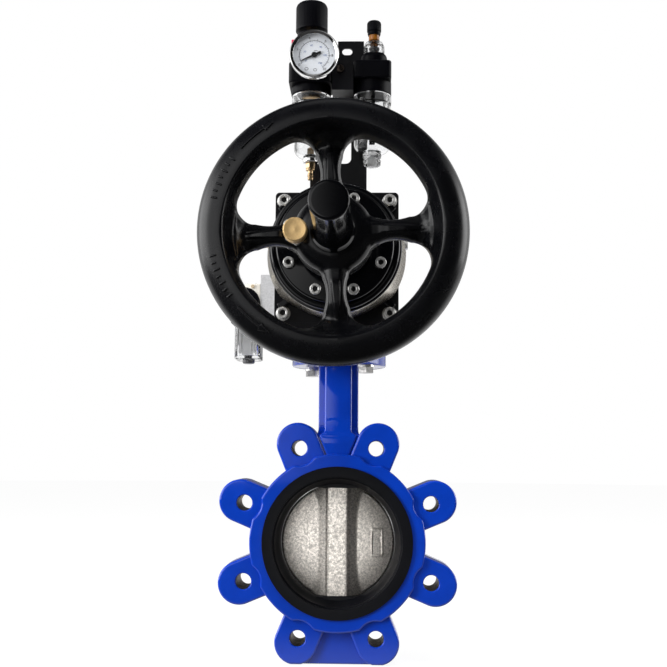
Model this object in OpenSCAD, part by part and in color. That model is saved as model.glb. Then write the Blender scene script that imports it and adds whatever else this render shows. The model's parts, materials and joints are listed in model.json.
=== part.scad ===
// Lug butterfly valve with a rack-and-pinion air actuator, a handwheel override,
// a solenoid valve and an air preparation unit. Millimetres, +Z up, handwheel towards -Y.
// Origin: centre of the valve bore, midway through the body.

/* [Valve body] */
// Pitch circle of the pipeline flange holes
flange_pcd = 180; // [178:1:186]
// Diameter of each pipeline flange hole
lug_hole_d = 14; // [12:0.5:18]
// Outer radius of each lug round its hole
lug_r = 19.1; // [18:0.1:20.5]
// Distance of the lug's round end past the hole's centre
lug_over = 4.1; // [3:0.1:6]
// Thickness of the lugs along the pipe
lug_t = 44; // [38:1:48]
// Outer radius of the body ring
ring_r = 78.3; // [76:0.1:80]
// Thickness of the body ring along the pipe
ring_t = 50; // [50:1:56]
// Radius of the hollow cut in the ring face round each hole
scallop_r = 15.5; // [12:0.5:17]
// Radius of the body bore that holds the seat
seat_bore_r = 60; // [58:0.5:62]
// Distance from the bore axis down to the flat foot
foot_drop = 105.5; // [103:0.1:105.6]
// Width of the flat foot
foot_w = 72; // [64:1:80]
// Width of the neck
neck_w = 36; // [32:1:44]
// Width of the raised rib on the neck
neck_rib_w = 24; // [16:1:28]
// Depth of the neck over its ribs
neck_t = 34; // [32:1:40]
// Radius of the bore through the neck
neck_bore_r = 11; // [10.5:0.1:12]
// Height of the top flange's underside above the bore axis
top_flange_z = 157.8; // [150:0.1:170]
// Diameter of the round top flange
top_flange_d = 86; // [84:1:92]
// Thickness of the top flange
top_flange_t = 12.2; // [10:0.1:18]
// Pitch circle of the actuator mounting bolts
top_pcd = 70; // [68:1:72]
// Diameter of the actuator mounting bolts
mount_bolt_d = 8; // [6:1:9]

/* [Seat and disc] */
// Radius of the disc
disc_r = 51.2; // [50:0.1:53]
// Thickness of the disc at its rim
disc_rim_t = 6; // [5:0.5:10]
// Thickness of the disc beside its hub
disc_web_t = 11; // [10:0.5:13]
// Radius of the disc hub round the stem
disc_hub_r = 11; // [10.5:0.1:13]
// Outer radius of the seat's face lip
seat_lip_r = 67; // [64:0.1:72]
// How far the seat's lip stands proud of the ring
seat_lip_t = 1.5; // [1:0.1:3]
// Height of the flats where the disc turns against the seat
seal_flat_z = 48; // [46:0.1:49.5]
// Radius of the stem
stem_r = 8; // [7.5:0.1:8.5]
// Width across the stem's square end
stem_square = 13; // [12:0.5:14]

/* [Actuator] */
// Height of the spacer between valve and actuator
spacer_t = 16; // [12:1:24]
// Width of the actuator
act_w = 103; // [100:1:112]
// Height of the actuator
act_h = 110; // [106:1:120]
// Length of the actuator's middle body
act_len = 164; // [160:1:180]
// Length of each end cap
end_cap_t = 25; // [22:1:30]
// Diameter of the piston bore
piston_bore_d = 83; // [82:0.5:84]
// Length of each piston head
piston_t = 16; // [14:1:20]
// Distance from the pinion axis to the pistons when the valve is shut
piston_start = 40; // [38:1:44]
// Pinion gear module
gear_module = 2.5; // [2.4:0.05:2.6]
// Height of the pinion's teeth
gear_h = 38; // [30:1:40]
// Distance of the end cap screws from the cap's sides
cap_screw_inset = 7.6; // [6.5:0.1:9]
// Diameter of the end cap screws
cap_screw_d = 6; // [5:0.5:7]

/* [Manual override] */
// Radius of the override drum
drum_r = 54.5; // [53.5:0.5:58]
// Length of the override drum
drum_len = 43; // [40:1:55]
// Radius of the drum cover
cover_r = 51.2; // [50:0.2:53]
// Thickness of the cover's flange
cover_flange_t = 6; // [4:0.5:8]
// Step from the cover's flange up to its screw face
cover_step_t = 6; // [4:0.5:8]
// Pitch circle of the cover screws
cover_pcd = 77.4; // [76:0.2:80]
// Diameter of the cover screws
cover_screw_d = 5; // [4:0.5:6]
// Radius of the threaded spindle
spindle_r = 9; // [8:0.1:10]
// Advance of the spindle for one turn of the handwheel
spindle_lead = 4; // [3:0.5:5]
// Outer radius of the drive nut's sleeve
sleeve_r = 16; // [14:0.2:17]
// Outer diameter of the handwheel
wheel_d = 200; // [190:1:220]
// Radial width of the handwheel rim
rim_w = 21; // [18:1:22]
// Width of the ledge inside the rim
ledge_w = 2.8; // [2:0.2:5]
// Width of each spoke
spoke_w = 19.5; // [17:0.5:23]
// Radius of the handwheel hub
hub_r = 30; // [28:0.5:34]
// Angle by which the handwheel is turned at rest
wheel_phase = 3; // [0:1:10]
// Length of the cap over the spindle
spindle_cap_len = 96; // [80:1:110]
// Radius of the cap over the spindle at its tip
spindle_cap_r = 13.1; // [12.5:0.1:15]
// Radius of the lock plunger's knob
plunger_knob_r = 9; // [7:0.2:10]
// Distance of the lock plunger from the wheel axis
plunger_offset = 27.3; // [26.8:0.1:28]

/* [Air unit] */
// Sideways place of the filter-regulator's axis
regulator_x = -25.9; // [-28:0.1:-24]
// Sideways place of the lubricator's axis
lubricator_x = 29.5; // [28:0.5:34]
// Distance of the sight dome's axis beside the lubricator's
sight_offset = 1.6; // [0:0.1:2.5]
// Distance of the air unit's axes in front of the pinion
air_y = 44; // [42:0.5:50]
// Width of the filter-regulator body
regulator_w = 39; // [38:0.5:42]
// Width of the lubricator body
lubricator_w = 34; // [34:0.5:38]
// Depth of both bodies
air_depth = 40; // [38:1:44]
// Height from the actuator's top up to the filter-regulator body
regulator_lift = 99; // [96:1:110]
// Height of the filter-regulator body
regulator_h = 32; // [28:1:36]
// Height of the lubricator body
lubricator_h = 22; // [20:1:26]
// Radius of the filter bowl
filter_bowl_r = 15; // [14.5:0.1:16.5]
// Radius of the lubricator bowl
lubricator_bowl_r = 16.5; // [15:0.1:17]
// Radius of the pressure knob
knob_r = 13.9; // [13:0.1:15.5]
// Height of the pressure knob
knob_h = 30; // [28:1:36]
// Radius of the gauge's bezel
gauge_r = 21.8; // [20.5:0.1:23]
// Radius of the air ports
port_r = 5.9; // [5:0.1:6.5]
// Thickness of the support bracket's sheet
sheet_t = 3; // [2:0.5:4]

/* [Solenoid valve] */
// Thickness of the solenoid valve body
solenoid_t = 18; // [16:1:24]
// Height of the solenoid valve body
solenoid_h = 42; // [38:1:48]
// Length of the solenoid valve body
solenoid_len = 84; // [76:1:100]
// Radius of the coil
coil_r = 15; // [13:0.5:17]
// Width of the plug connector
plug_w = 25; // [23:0.5:28]
// Height of the plug connector
plug_h = 31.5; // [29:0.5:36]

/* [Fits] */
// Radial clearance of a shaft or piston that runs in its bore
run_gap = 0.05; // [0.02:0.01:0.08]
// Clearance between moving pieces that don't touch
free_gap = 0.3; // [0.2:0.05:0.5]

/* [Hidden] */
$fn = 64;
lug_count = 8;
act_bottom = top_flange_z + top_flange_t + spacer_t;
act_z = act_bottom + act_h / 2;
act_top = act_bottom + act_h;
cap_screw_x = act_w - 2 * cap_screw_inset;
cap_screw_z = act_h - 2 * cap_screw_inset;
bore_r = piston_bore_d / 2;
cap_face = act_len / 2 + end_cap_t;
mount_r = mount_bolt_d / 2;
seat_throat_r = disc_r + free_gap;

// pinion and racks
gear_teeth = 12;
pitch_r = gear_module * gear_teeth / 2;
tooth_pitch = PI * gear_module;
pressure_angle = 20;
base_r = pitch_r * cos(pressure_angle);
tip_r = pitch_r + 0.88 * gear_module;
root_r = pitch_r - 0.88 * gear_module;
rack_tip = 0.64 * gear_module;
rack_root = 1.04 * gear_module;
tooth_play = 0.1;
stroke = pitch_r * PI / 2;
rack_h = 24;
rack_back = 34;
rack_tail = piston_start - 4;
journal_low_r = 15;
journal_top_r = 14;
bush_wall = 3;
bush_h = 10;
cam_r = 24;
cam_t = 10;
cam_z = act_z + gear_h / 2 + 3;
stop_y = 19.5;
stop_r = 4;
pinion_neck = 4;
indicator_z = act_top + pinion_neck;
indicator_r = 17;
indicator_h = 14;

// manual override, as distances in front of the pinion axis
drum_face = cap_face + drum_len;
cover_step = drum_face + cover_flange_t;
cover_face = cover_step + cover_step_t;
boss_r = sleeve_r + 6;
boss_face = cover_face + 18;
clutch_t = 5;
clutch_back = boss_face + 1;
hub_back = clutch_back + clutch_t;
hub_edge = hub_back + 13;
hub_face = hub_edge + 15;
rim_mid = hub_face + 2;
rim_r = wheel_d / 2;
ledge_r = rim_r - rim_w - ledge_w;
web_back = hub_edge + 1;
web_t = 11;
floor_t = 8;
cavity_floor = cap_face + floor_t;
cavity_r = sleeve_r + 10;
bearing_t = 8.7;
nut_flange_t = 8;
nut_flange_back = cavity_floor + bearing_t + free_gap;
nut_flange_face = nut_flange_back + nut_flange_t;
upper_bearing_back = nut_flange_face + free_gap;
upper_bearing_face = upper_bearing_back + bearing_t;
cover_screw_end = cap_face - 7;
spindle_tail_r = 6;
spindle_end = hub_face + 22;
plunger_nut_r = 9.2;
plunger_nut_back = hub_edge + 6;
plunger_nut_t = 7;
plunger_pin_r = 3;

// air unit heights
regulator_z = act_top + regulator_lift;
regulator_top = regulator_z + regulator_h;
lubricator_z = regulator_z + 11;
lubricator_top = lubricator_z + lubricator_h;
air_front = air_y + air_depth / 2;
air_back = air_y - air_depth / 2;
bonnet_r = knob_r - 0.6;
bonnet_h = 32;
bonnet_top = regulator_top + bonnet_h;
filter_bowl_h = 52;
lubricator_bowl_h = 57.5;
bowl_wall = 2.2;
drain_r = 4;
sight_x = lubricator_x + sight_offset;
sight_r = 9.4;
sight_h = 13;
sight_z = lubricator_top + 11.5;
needle_collar_h = 5;
lub_knob_r = 6.2;
lub_knob_h = 13.5;
gauge_x = -21.3;
gauge_z = regulator_top - 3;
gauge_back = air_front + 10;
gauge_face = gauge_back + 16;
gauge_case_r = gauge_r - 3;
gauge_hollow_r = gauge_case_r - 1.2;
gauge_seat_r = gauge_r - 2.8;
gauge_window_r = gauge_r - 3.3;
gauge_seat = gauge_face - 5;
bracket_left = -27.3;
bracket_right = 24.8;
bracket_shoulder = act_top + 48;
arm_left = 10.4;
upper_left = -2.4;
upper_right = 21.9;
bracket_top = regulator_top + 34;
accessory_x = 30;
accessory_y = 80;

// solenoid valve places
side_x = act_w / 2;
solenoid_x = side_x + solenoid_t;
solenoid_z = act_z - 46;
adapter_t = 11;
adapter_top = act_z + 42;
spool_r = 5;
spool_len = 60;
pilot_w = 14;
coil_x = solenoid_x + coil_r;
coil_z = act_z - 30;
coil_front = 44;
coil_len = 30;
plug_x = coil_x - 2;
plug_top = coil_z - 18;
silencer_r = 5;

// ---------------------------------------------------------------- helpers

// Turns local +Z into -Y, so that local x is X and local y is Z: for pieces along the pipe axis.
module forward() {
    rotate([90, 0, 0]) children();
}

// The same, about the actuator's own axis.
module actuator_axis() {
    translate([0, 0, act_z]) forward() children();
}

// A cylinder from z0 to z1.
module rod(r, z0, z1) {
    translate([0, 0, z0]) cylinder(h = z1 - z0, r = r);
}

// A ring from z0 to z1.
module ring(r_in, r_out, z0, z1) {
    translate([0, 0, z0])
    linear_extrude(z1 - z0)
    difference() {
        circle(r_out);
        circle(r_in);
    }
}

// A hexagonal prism of the given corner radius, from z0 to z1.
module hex_prism(r, z0, z1) {
    translate([0, 0, z0]) linear_extrude(z1 - z0) rotate(30) circle(r, $fn = 6);
}

// A rectangle with round corners, centred.
module round_rect(w, h, r) {
    square([w - 2 * r, h], center = true);
    square([w, h - 2 * r], center = true);
    for (sx = [-1, 1], sy = [-1, 1])
        translate([sx * (w / 2 - r), sy * (h / 2 - r)]) circle(r);
}

// A block from one corner to the other, given as two points.
module block(low, high) {
    translate(low) cube(high - low);
}

// Repeats its children at the four corners of a rectangle.
module at_corners(w, h) {
    for (sx = [-1, 1], sy = [-1, 1])
        translate([sx * w / 2, sy * h / 2, 0]) children();
}

// Repeats its children on a circle, starting half a step from the axis.
module on_circle(pcd, count) {
    for (i = [0 : count - 1])
        rotate([0, 0, (i + 0.5) * 360 / count])
        translate([pcd / 2, 0, 0])
        children();
}

// A socket-head screw whose head rests at z = 0 and whose shank goes down to -length.
module socket_screw(d, length, head_h) {
    difference() {
        union() {
            rod(d / 2, -length, 0);
            rod(0.85 * d, 0, head_h);
        }
        hex_prism(0.46 * d, head_h / 2, head_h + 1);
    }
}

// ---------------------------------------------------------------- valve

module lug_outline() {
    centre = flange_pcd / 2 + lug_over;
    translate([centre, 0]) circle(lug_r);
    translate([seat_bore_r + 4, -lug_r]) square([centre - seat_bore_r - 4, 2 * lug_r]);
}

module valve_body() {
    foot_trim = 2;
    panel_t = 1.5;
    panel_base = 25;
    panel_tip = 15;
    neck_foot = ring_r - 6;
    color("royalblue")
    difference() {
        union() {
            forward() {
                difference() {
                    cylinder(h = ring_t, r = ring_r, center = true);
                    for (side = [0, 1])
                        mirror([0, 0, side])
                        on_circle(flange_pcd, lug_count)
                        rod(scallop_r, lug_t / 2, ring_t);
                }
                linear_extrude(lug_t, center = true) {
                    for (i = [0 : lug_count - 1])
                        rotate([0, 0, (i + 0.5) * 360 / lug_count])
                        lug_outline();
                    // foot that joins the two lowest lugs
                    translate([-foot_w / 2, -foot_drop - foot_trim])
                        square([foot_w, foot_drop + foot_trim - seat_bore_r - 8]);
                }
                // raised panel between them
                linear_extrude(lug_t + 2 * panel_t, center = true)
                polygon([
                    [-panel_base, -foot_drop - foot_trim], [panel_base, -foot_drop - foot_trim],
                    [panel_tip, -ring_r + 2], [-panel_tip, -ring_r + 2]
                ]);
                // shoulders where the neck meets the ring
                linear_extrude(neck_t - 12, center = true)
                polygon([
                    [-neck_w / 2 - 9, neck_foot], [neck_w / 2 + 9, neck_foot],
                    [neck_w / 2, neck_foot + 20], [-neck_w / 2, neck_foot + 20]
                ]);
            }
            translate([0, 0, neck_foot])
            linear_extrude(top_flange_z - neck_foot + 1) {
                square([neck_w, neck_t - 12], center = true);
                square([neck_rib_w, neck_t], center = true);
            }
            rod(top_flange_d / 2, top_flange_z, top_flange_z + top_flange_t);
        }
        // flat underside of the foot and the two lowest lugs
        translate([0, 0, -foot_drop - 10]) cube([2 * flange_pcd, ring_t + 10, 20], center = true);
        forward() {
            cylinder(h = ring_t + 2, r = seat_bore_r, center = true);
            on_circle(flange_pcd, lug_count)
                cylinder(h = lug_t + 8, d = lug_hole_d, center = true);
        }
        rod(neck_bore_r, seat_bore_r - 2, top_flange_z + top_flange_t + 1);
        rod(neck_bore_r, -foot_drop + 14, -seat_bore_r + 2);
        rod(plug_thread_r(), -foot_drop - 1, -foot_drop + 14);
        on_circle(top_pcd, 4)
            rod(mount_r + 0.5, top_flange_z - 1, top_flange_z + top_flange_t + 1);
    }
}

function plug_thread_r() = neck_bore_r + 1.5;

module seat_liner() {
    half = ring_t / 2;
    lip = half + seat_lip_t;
    mouth_r = seat_throat_r + 6.3;
    step_r = seat_throat_r + 4.5;
    land = half - 13;
    flat_chord = sqrt(pow(seat_throat_r + 2, 2) - pow(seal_flat_z, 2));
    color("dimgray")
    difference() {
        union() {
            seat_ring(half, lip, mouth_r, step_r, land);
            // flats that the disc's hub turns against
            for (up = [0, 1])
                mirror([0, 0, up])
                block([-flat_chord, -land, seal_flat_z], [flat_chord, land, seat_throat_r + 3]);
        }
        cylinder(h = 2 * seat_bore_r + 10, r = stem_r + free_gap, center = true);
    }
}

module seat_ring(half, lip, mouth_r, step_r, land) {
    forward()
    rotate_extrude()
    polygon([
        [seat_throat_r, -land], [step_r, -half + 5], [step_r, -half + 2],
        [mouth_r, -half + 1.5], [mouth_r, -lip], [seat_lip_r, -lip],
        [seat_lip_r, -half], [seat_bore_r, -half], [seat_bore_r, half],
        [seat_lip_r, half], [seat_lip_r, lip], [mouth_r, lip],
        [mouth_r, half - 1.5], [step_r, half - 2], [step_r, half - 5],
        [seat_throat_r, land]
    ]);
}

// Depth of the square socket in the disc, measured from the disc's centre.
disc_socket_z = 16;
disc_bore_z = 26;

module valve_disc() {
    web = disc_web_t / 2;
    rim = disc_rim_t / 2;
    web_end = 0.45 * disc_r;
    rim_start = disc_r - 2.5;
    flat = seal_flat_z - free_gap;
    color("silver")
    difference() {
        intersection() {
            sphere(disc_r);
            cube([2 * disc_r, 2 * disc_r, 2 * flat], center = true);
            union() {
                forward()
                rotate_extrude()
                polygon([
                    [0, -web], [web_end, -web], [rim_start, -rim], [disc_r, -rim + 0.8],
                    [disc_r, rim - 0.8], [rim_start, rim], [web_end, web], [0, web]
                ]);
                cylinder(h = 2 * disc_r, r = disc_hub_r, center = true);
            }
        }
        rod(stem_r, disc_bore_z, disc_r + 1);
        translate([0, 0, disc_socket_z])
            linear_extrude(disc_bore_z - disc_socket_z + 1)
            square(stem_tongue(), center = true);
        rod(stem_r, -disc_r - 1, -disc_bore_z);
    }
}

function stem_tongue() = 1.3 * stem_r;

module upper_stem() {
    shoulder = top_flange_z + top_flange_t;
    color("lightgray") {
        rod(stem_r, disc_bore_z, shoulder);
        translate([0, 0, disc_socket_z])
            linear_extrude(disc_bore_z - disc_socket_z)
            square(stem_tongue(), center = true);
        translate([0, 0, shoulder])
            linear_extrude(spacer_t + 12)
            intersection() {
                circle(stem_r);
                square(stem_square, center = true);
            }
    }
}

module lower_stem() {
    color("lightgray") rod(stem_r, -foot_drop + 16, -disc_bore_z);
}

module stem_bushes() {
    bush = 12;
    near = seat_bore_r + 3;
    high = top_flange_z - 16;
    color("khaki") {
        ring(stem_r + run_gap, neck_bore_r, near, near + bush);
        ring(stem_r + run_gap, neck_bore_r, high, high + bush);
        ring(stem_r + run_gap, neck_bore_r, -near - bush, -near);
    }
}

module stem_seal() {
    color("black")
    ring(stem_r + run_gap, neck_bore_r, top_flange_z - 2, top_flange_z + top_flange_t - 4);
}

module bottom_plug() {
    color("lightgray")
    difference() {
        rod(plug_thread_r(), -foot_drop, -foot_drop + 14);
        hex_prism(5, -foot_drop - 1, -foot_drop + 6);
    }
}

// ---------------------------------------------------------------- mounting

module mounting_spacer() {
    low = top_flange_z + top_flange_t;
    color("dimgray")
    difference() {
        rod(top_flange_d / 2 - 1, low, low + spacer_t);
        rod(stem_r + 10, low - 1, low + spacer_t + 1);
        on_circle(top_pcd, 4) rod(mount_r + 0.5, low - 1, low + spacer_t + 1);
    }
}

mount_washer_t = 1.8;
mount_head_h = 0.66 * mount_bolt_d;

// Two of the four holes carry a bolt: [place on the circle, turn of the head].
module at_mounting_bolts() {
    for (bolt = [[135, 58], [315, -13]])
        rotate([0, 0, bolt[0]])
        translate([top_pcd / 2, 0, 0])
        rotate([0, 0, bolt[1]])
        children();
}

module mounting_bolts() {
    under_head = top_flange_z - mount_washer_t;
    color("silver")
    at_mounting_bolts() {
        rod(mount_r, under_head - 1, act_bottom + 13);
        hex_prism(0.94 * mount_bolt_d, under_head - mount_head_h, under_head);
    }
}

module mounting_washers() {
    color("silver")
    at_mounting_bolts()
    ring(mount_r + 0.2, mount_bolt_d, top_flange_z - mount_washer_t, top_flange_z);
}

// ---------------------------------------------------------------- actuator

module actuator_outline() {
    groove = 2;
    difference() {
        round_rect(act_w - 1, act_h, 7);
        for (side = [-1, 1], up = [-1, 1])
            translate([side * (act_w - 1) / 2, up * act_h * 0.33])
            square([2 * groove, 6], center = true);
        for (side = [-1, 1])
            translate([side * act_w * 0.3, act_h / 2]) square([5, 2 * groove], center = true);
    }
}

module actuator_body() {
    color("silver")
    difference() {
        actuator_axis() linear_extrude(act_len, center = true) actuator_outline();
        actuator_axis() {
            cylinder(h = act_len + 2, r = bore_r, center = true);
            at_corners(cap_screw_x, cap_screw_z)
                for (side = [-1, 1])
                translate([0, 0, side * act_len / 2])
                cylinder(h = 40, d = cap_screw_d, center = true);
        }
        rod(journal_low_r + bush_wall, act_bottom - 1, act_z);
        rod(journal_top_r + bush_wall, act_z, act_top + 1);
        on_circle(top_pcd, 4) rod(mount_r, act_bottom - 1, act_bottom + 13);
        at_corners(accessory_x, accessory_y) rod(2.5, act_top - 10, act_top + 1);
        for (side = [-1, 1]) {
            translate([0, side * stop_y, cam_z + cam_t / 2])
                rotate([0, 90, 0])
                rod(stop_r, 0, act_w);
            translate([0, side * 12, act_z])
                rotate([0, -90, 0])
                rod(4, bore_r - 5, act_w);
        }
    }
}

module end_cap() {
    recess = end_cap_t - 9;
    difference() {
        translate([0, 0, act_len / 2]) linear_extrude(end_cap_t) round_rect(act_w, act_h, 3.5);
        rod(bore_r + free_gap, act_len / 2 - 1, act_len / 2 + recess);
        ring(bore_r + 2, bore_r + 4.5, act_len / 2 - 1, act_len / 2 + 2);
        at_corners(cap_screw_x, cap_screw_z)
            rod(cap_screw_d / 2 + 0.2, act_len / 2 - 1, cap_face + 1);
    }
}

module front_end_cap() {
    color("#202124")
    actuator_axis()
    difference() {
        end_cap();
        rod(spindle_r + run_gap, act_len / 2, cap_face + 1);
        on_circle(cover_pcd, lug_count) rod(cover_screw_d / 2, cover_screw_end, cap_face + 1);
    }
}

module rear_end_cap() {
    color("#202124") rotate([0, 0, 180]) actuator_axis() end_cap();
}

module each_end() {
    for (turn = [0, 180]) rotate([0, 0, turn]) actuator_axis() children();
}

cap_washer_t = 1.5;

module cap_screws() {
    color("silver")
    each_end()
    at_corners(cap_screw_x, cap_screw_z)
    translate([0, 0, cap_face + cap_washer_t])
    socket_screw(cap_screw_d, end_cap_t + cap_washer_t + 18, 5.5);
}

module cap_washers() {
    color("silver")
    each_end()
    at_corners(cap_screw_x, cap_screw_z)
    ring(cap_screw_d / 2 + 0.2, cap_screw_d + 0.1, cap_face, cap_face + cap_washer_t);
}

module cap_seals() {
    color("black")
    each_end()
    ring(bore_r + 2, bore_r + 4.5, act_len / 2, act_len / 2 + 2);
}

// Outline of one rack tooth, pointing to +x from the rack's root line at x = 0.
module rack_tooth() {
    half_pitch = tooth_pitch / 4 - tooth_play;
    half_root = half_pitch + rack_root * tan(pressure_angle);
    half_tip = half_pitch - rack_tip * tan(pressure_angle);
    depth = rack_root + rack_tip;
    polygon([
        [-1, -half_root], [0, -half_root], [depth, -half_tip],
        [depth, half_tip], [0, half_root], [-1, half_root]
    ]);
}

// Piston with its rack leg on the -x side. The head is towards -Y.
module piston() {
    groove_mid = piston_start + piston_t / 2;
    root_x = -pitch_r - rack_root;
    difference() {
        union() {
            actuator_axis() rod(bore_r - free_gap, piston_start, piston_start + piston_t);
            translate([0, 0, act_z])
            linear_extrude(rack_h, center = true) {
                translate([-rack_back, -piston_start - 1])
                    square([rack_back + root_x, piston_start + rack_tail + 1]);
                for (k = [-2 : 3])
                    translate([root_x, (k + 0.5) * tooth_pitch]) rack_tooth();
            }
        }
        actuator_axis() ring(bore_r - 3, bore_r + 1, groove_mid - 2, groove_mid + 2);
    }
}

module piston_rings() {
    groove_mid = piston_start + piston_t / 2;
    actuator_axis() ring(bore_r - 3, bore_r - run_gap, groove_mid - 2, groove_mid + 2);
    intersection() {
        actuator_axis() cylinder(h = act_len, r = bore_r - free_gap, center = true);
        block([-bore_r, -12, act_z - 8], [-rack_back, 14, act_z + 8]);
    }
}

module front_piston() {
    color("gainsboro")
    difference() {
        piston();
        actuator_axis() rod(spindle_tail_r, piston_start - 1, piston_start + piston_t + 1);
    }
}

module rear_piston() {
    color("gainsboro") rotate([0, 0, 180]) piston();
}

module front_piston_rings() {
    color("black") piston_rings();
}

module rear_piston_rings() {
    color("black") rotate([0, 0, 180]) piston_rings();
}

// Half the angle that one pinion tooth spans at radius r, from the involute.
function involute(a) = tan(a) * 180 / PI - a;
function tooth_half(r) =
    90 / gear_teeth - tooth_play / pitch_r * 180 / PI
    + involute(pressure_angle) - (r > base_r ? involute(acos(base_r / r)) : 0);
function polar(r, a) = [r * cos(a), r * sin(a)];

flank_radii = [for (i = [0 : 4]) base_r + (tip_r - base_r) * i / 4];

module gear_outline() {
    polygon([
        for (k = [0 : gear_teeth - 1])
        let (mid = k * 360 / gear_teeth)
        each concat(
            [polar(root_r, mid - tooth_half(root_r))],
            [for (r = flank_radii) polar(r, mid - tooth_half(r))],
            [for (i = [4 : -1 : 0]) polar(flank_radii[i], mid + tooth_half(flank_radii[i]))],
            [polar(root_r, mid + tooth_half(root_r))]
        )
    ]);
}

module pinion() {
    gear_low = act_z - gear_h / 2;
    gear_top = act_z + gear_h / 2;
    color("darkgray")
    difference() {
        union() {
            rod(journal_low_r, act_bottom + free_gap, gear_low + 1);
            translate([0, 0, gear_low]) linear_extrude(gear_h) gear_outline();
            difference() {
                rod(journal_top_r, gear_top - 1, indicator_z);
                ring(journal_top_r - 1.5, journal_top_r + 1, act_top + 1, act_top + 2.5);
            }
            // stop cam: a quarter disc whose two flat sides meet the stop screws
            intersection() {
                rod(cam_r, cam_z, cam_z + cam_t);
                block([-cam_r, 0, cam_z], [0, cam_r, cam_z + cam_t]);
            }
        }
        translate([0, 0, act_bottom - 1])
            linear_extrude(14)
            square(stem_square, center = true);
        rod(3, indicator_z - 14, indicator_z + 1);
    }
}

module pinion_bushes() {
    color("ivory") {
        ring(
            journal_low_r + run_gap, journal_low_r + bush_wall,
            act_bottom, act_bottom + bush_h
        );
        ring(journal_top_r + run_gap, journal_top_r + bush_wall, act_top - bush_h, act_top);
    }
}

module snap_ring() {
    color("silver")
    ring(journal_top_r - 1.5, journal_top_r + 3, act_top + 1, act_top + 2.5);
}

module stop_screws() {
    color("silver")
    for (side = [-1, 1])
        translate([0, side * stop_y, cam_z + cam_t / 2])
        rotate([0, 90, 0]) {
            rod(stop_r, free_gap, side_x + 11);
            difference() {
                hex_prism(1.85 * stop_r, side_x - 0.5, side_x + 6);
                rod(stop_r, side_x - 1, side_x + 7);
            }
        }
}

module position_indicator() {
    color("gold")
    difference() {
        union() {
            rod(indicator_r, indicator_z, indicator_z + indicator_h - 5);
            rod(indicator_r - 4, indicator_z, indicator_z + indicator_h);
        }
        rod(3, indicator_z - 1, indicator_z + indicator_h + 1);
        block(
            [-indicator_r, -2, indicator_z + indicator_h - 3],
            [indicator_r, 2, indicator_z + indicator_h + 1]
        );
    }
}

module indicator_screw() {
    color("silver")
    rod(3, indicator_z - 12, indicator_z + indicator_h - 3);
}

// ---------------------------------------------------------------- manual override

module override_housing() {
    rib_t = 6;
    color("#202124")
    actuator_axis()
    difference() {
        union() {
            rod(drum_r - 2, cap_face, drum_face);
            rod(drum_r, cap_face + 4, drum_face - 4);
            // ribs that run from the drum to the end cap's corners
            intersection() {
                for (a = [42, 138, 222, 318])
                    rotate([0, 0, a])
                    translate([0, -rib_t / 2, cap_face])
                    cube([cap_screw_x / 2 + 10, rib_t, 5]);
                translate([0, 0, cap_face]) linear_extrude(6) square(act_w - 6, center = true);
            }
        }
        rod(spindle_r + free_gap, cap_face - 1, drum_face);
        rod(cavity_r, cavity_floor, drum_face + 1);
        on_circle(cover_pcd, lug_count) rod(cover_screw_d / 2 + 0.2, cap_face - 1, drum_face + 1);
    }
}

module housing_cover() {
    groove_r = cover_r - 4.3;
    color("#202124")
    actuator_axis()
    difference() {
        union() {
            rod(cavity_r, upper_bearing_face, drum_face + 1);
            rod(cover_r, drum_face, cover_step);
            rod(groove_r - 0.6, cover_step - 1, cover_face);
            rod(boss_r, cover_face - 1, boss_face);
        }
        rod(sleeve_r + run_gap, upper_bearing_face - 1, boss_face + 1);
        on_circle(cover_pcd, lug_count) rod(cover_screw_d / 2 + 0.2, drum_face - 1, cover_face + 1);
        ring(groove_r - 0.6, groove_r + 0.6, cover_step - 0.8, cover_step + 1);
    }
}

module cover_screws() {
    color("silver")
    actuator_axis()
    on_circle(cover_pcd, lug_count)
    translate([0, 0, cover_face])
    socket_screw(cover_screw_d, cover_face - cover_screw_end, cover_screw_d);
}

module thrust_bearing() {
    color("gray")
    actuator_axis() {
        ring(sleeve_r + free_gap, cavity_r, cavity_floor, cavity_floor + bearing_t);
        ring(sleeve_r + free_gap, cavity_r, upper_bearing_back, upper_bearing_face);
    }
}

module drive_nut() {
    color("goldenrod")
    actuator_axis()
    difference() {
        union() {
            rod(sleeve_r, cavity_floor + 0.5, hub_face);
            rod(cavity_r - 2, nut_flange_back, nut_flange_face);
            rod(hub_r, clutch_back, hub_back);
        }
        rod(spindle_r + run_gap, cavity_floor, hub_face + 1);
        rotate([0, 0, wheel_phase])
            translate([-plunger_offset, 0, 0])
            rod(plunger_pin_r + run_gap, clutch_back - 1, hub_back + 1);
    }
}

module spindle() {
    thread_start = cap_face + 14;
    thread_depth = 1.2;
    crests = floor((spindle_end - thread_start) / spindle_lead);
    head = piston_start + piston_t;
    color("silver")
    actuator_axis() {
        rod(spindle_tail_r, piston_start - 7, head);
        rod(spindle_r + 4, head, head + 5);
        rotate_extrude()
        polygon(concat(
            [[0, head + 4], [spindle_r, head + 4]],
            [for (i = [0 : crests - 1], k = [0, 1])
                [spindle_r - k * thread_depth, thread_start + (i + k / 2) * spindle_lead]],
            [[spindle_r - thread_depth, spindle_end], [0, spindle_end]]
        ));
        // nut that holds the spindle to the piston
        difference() {
            hex_prism(10, piston_start - 6, piston_start);
            rod(spindle_tail_r, piston_start - 8, piston_start + 1);
        }
    }
}

// Outline of one opening between the spokes at 0 and 90 degrees.
rim_fillet = 14.5;
hub_fillet = 8;
function arc(c, r, a0, a1, n) = [for (i = [0 : n]) c + polar(r, a0 + (a1 - a0) * i / n)];

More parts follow.
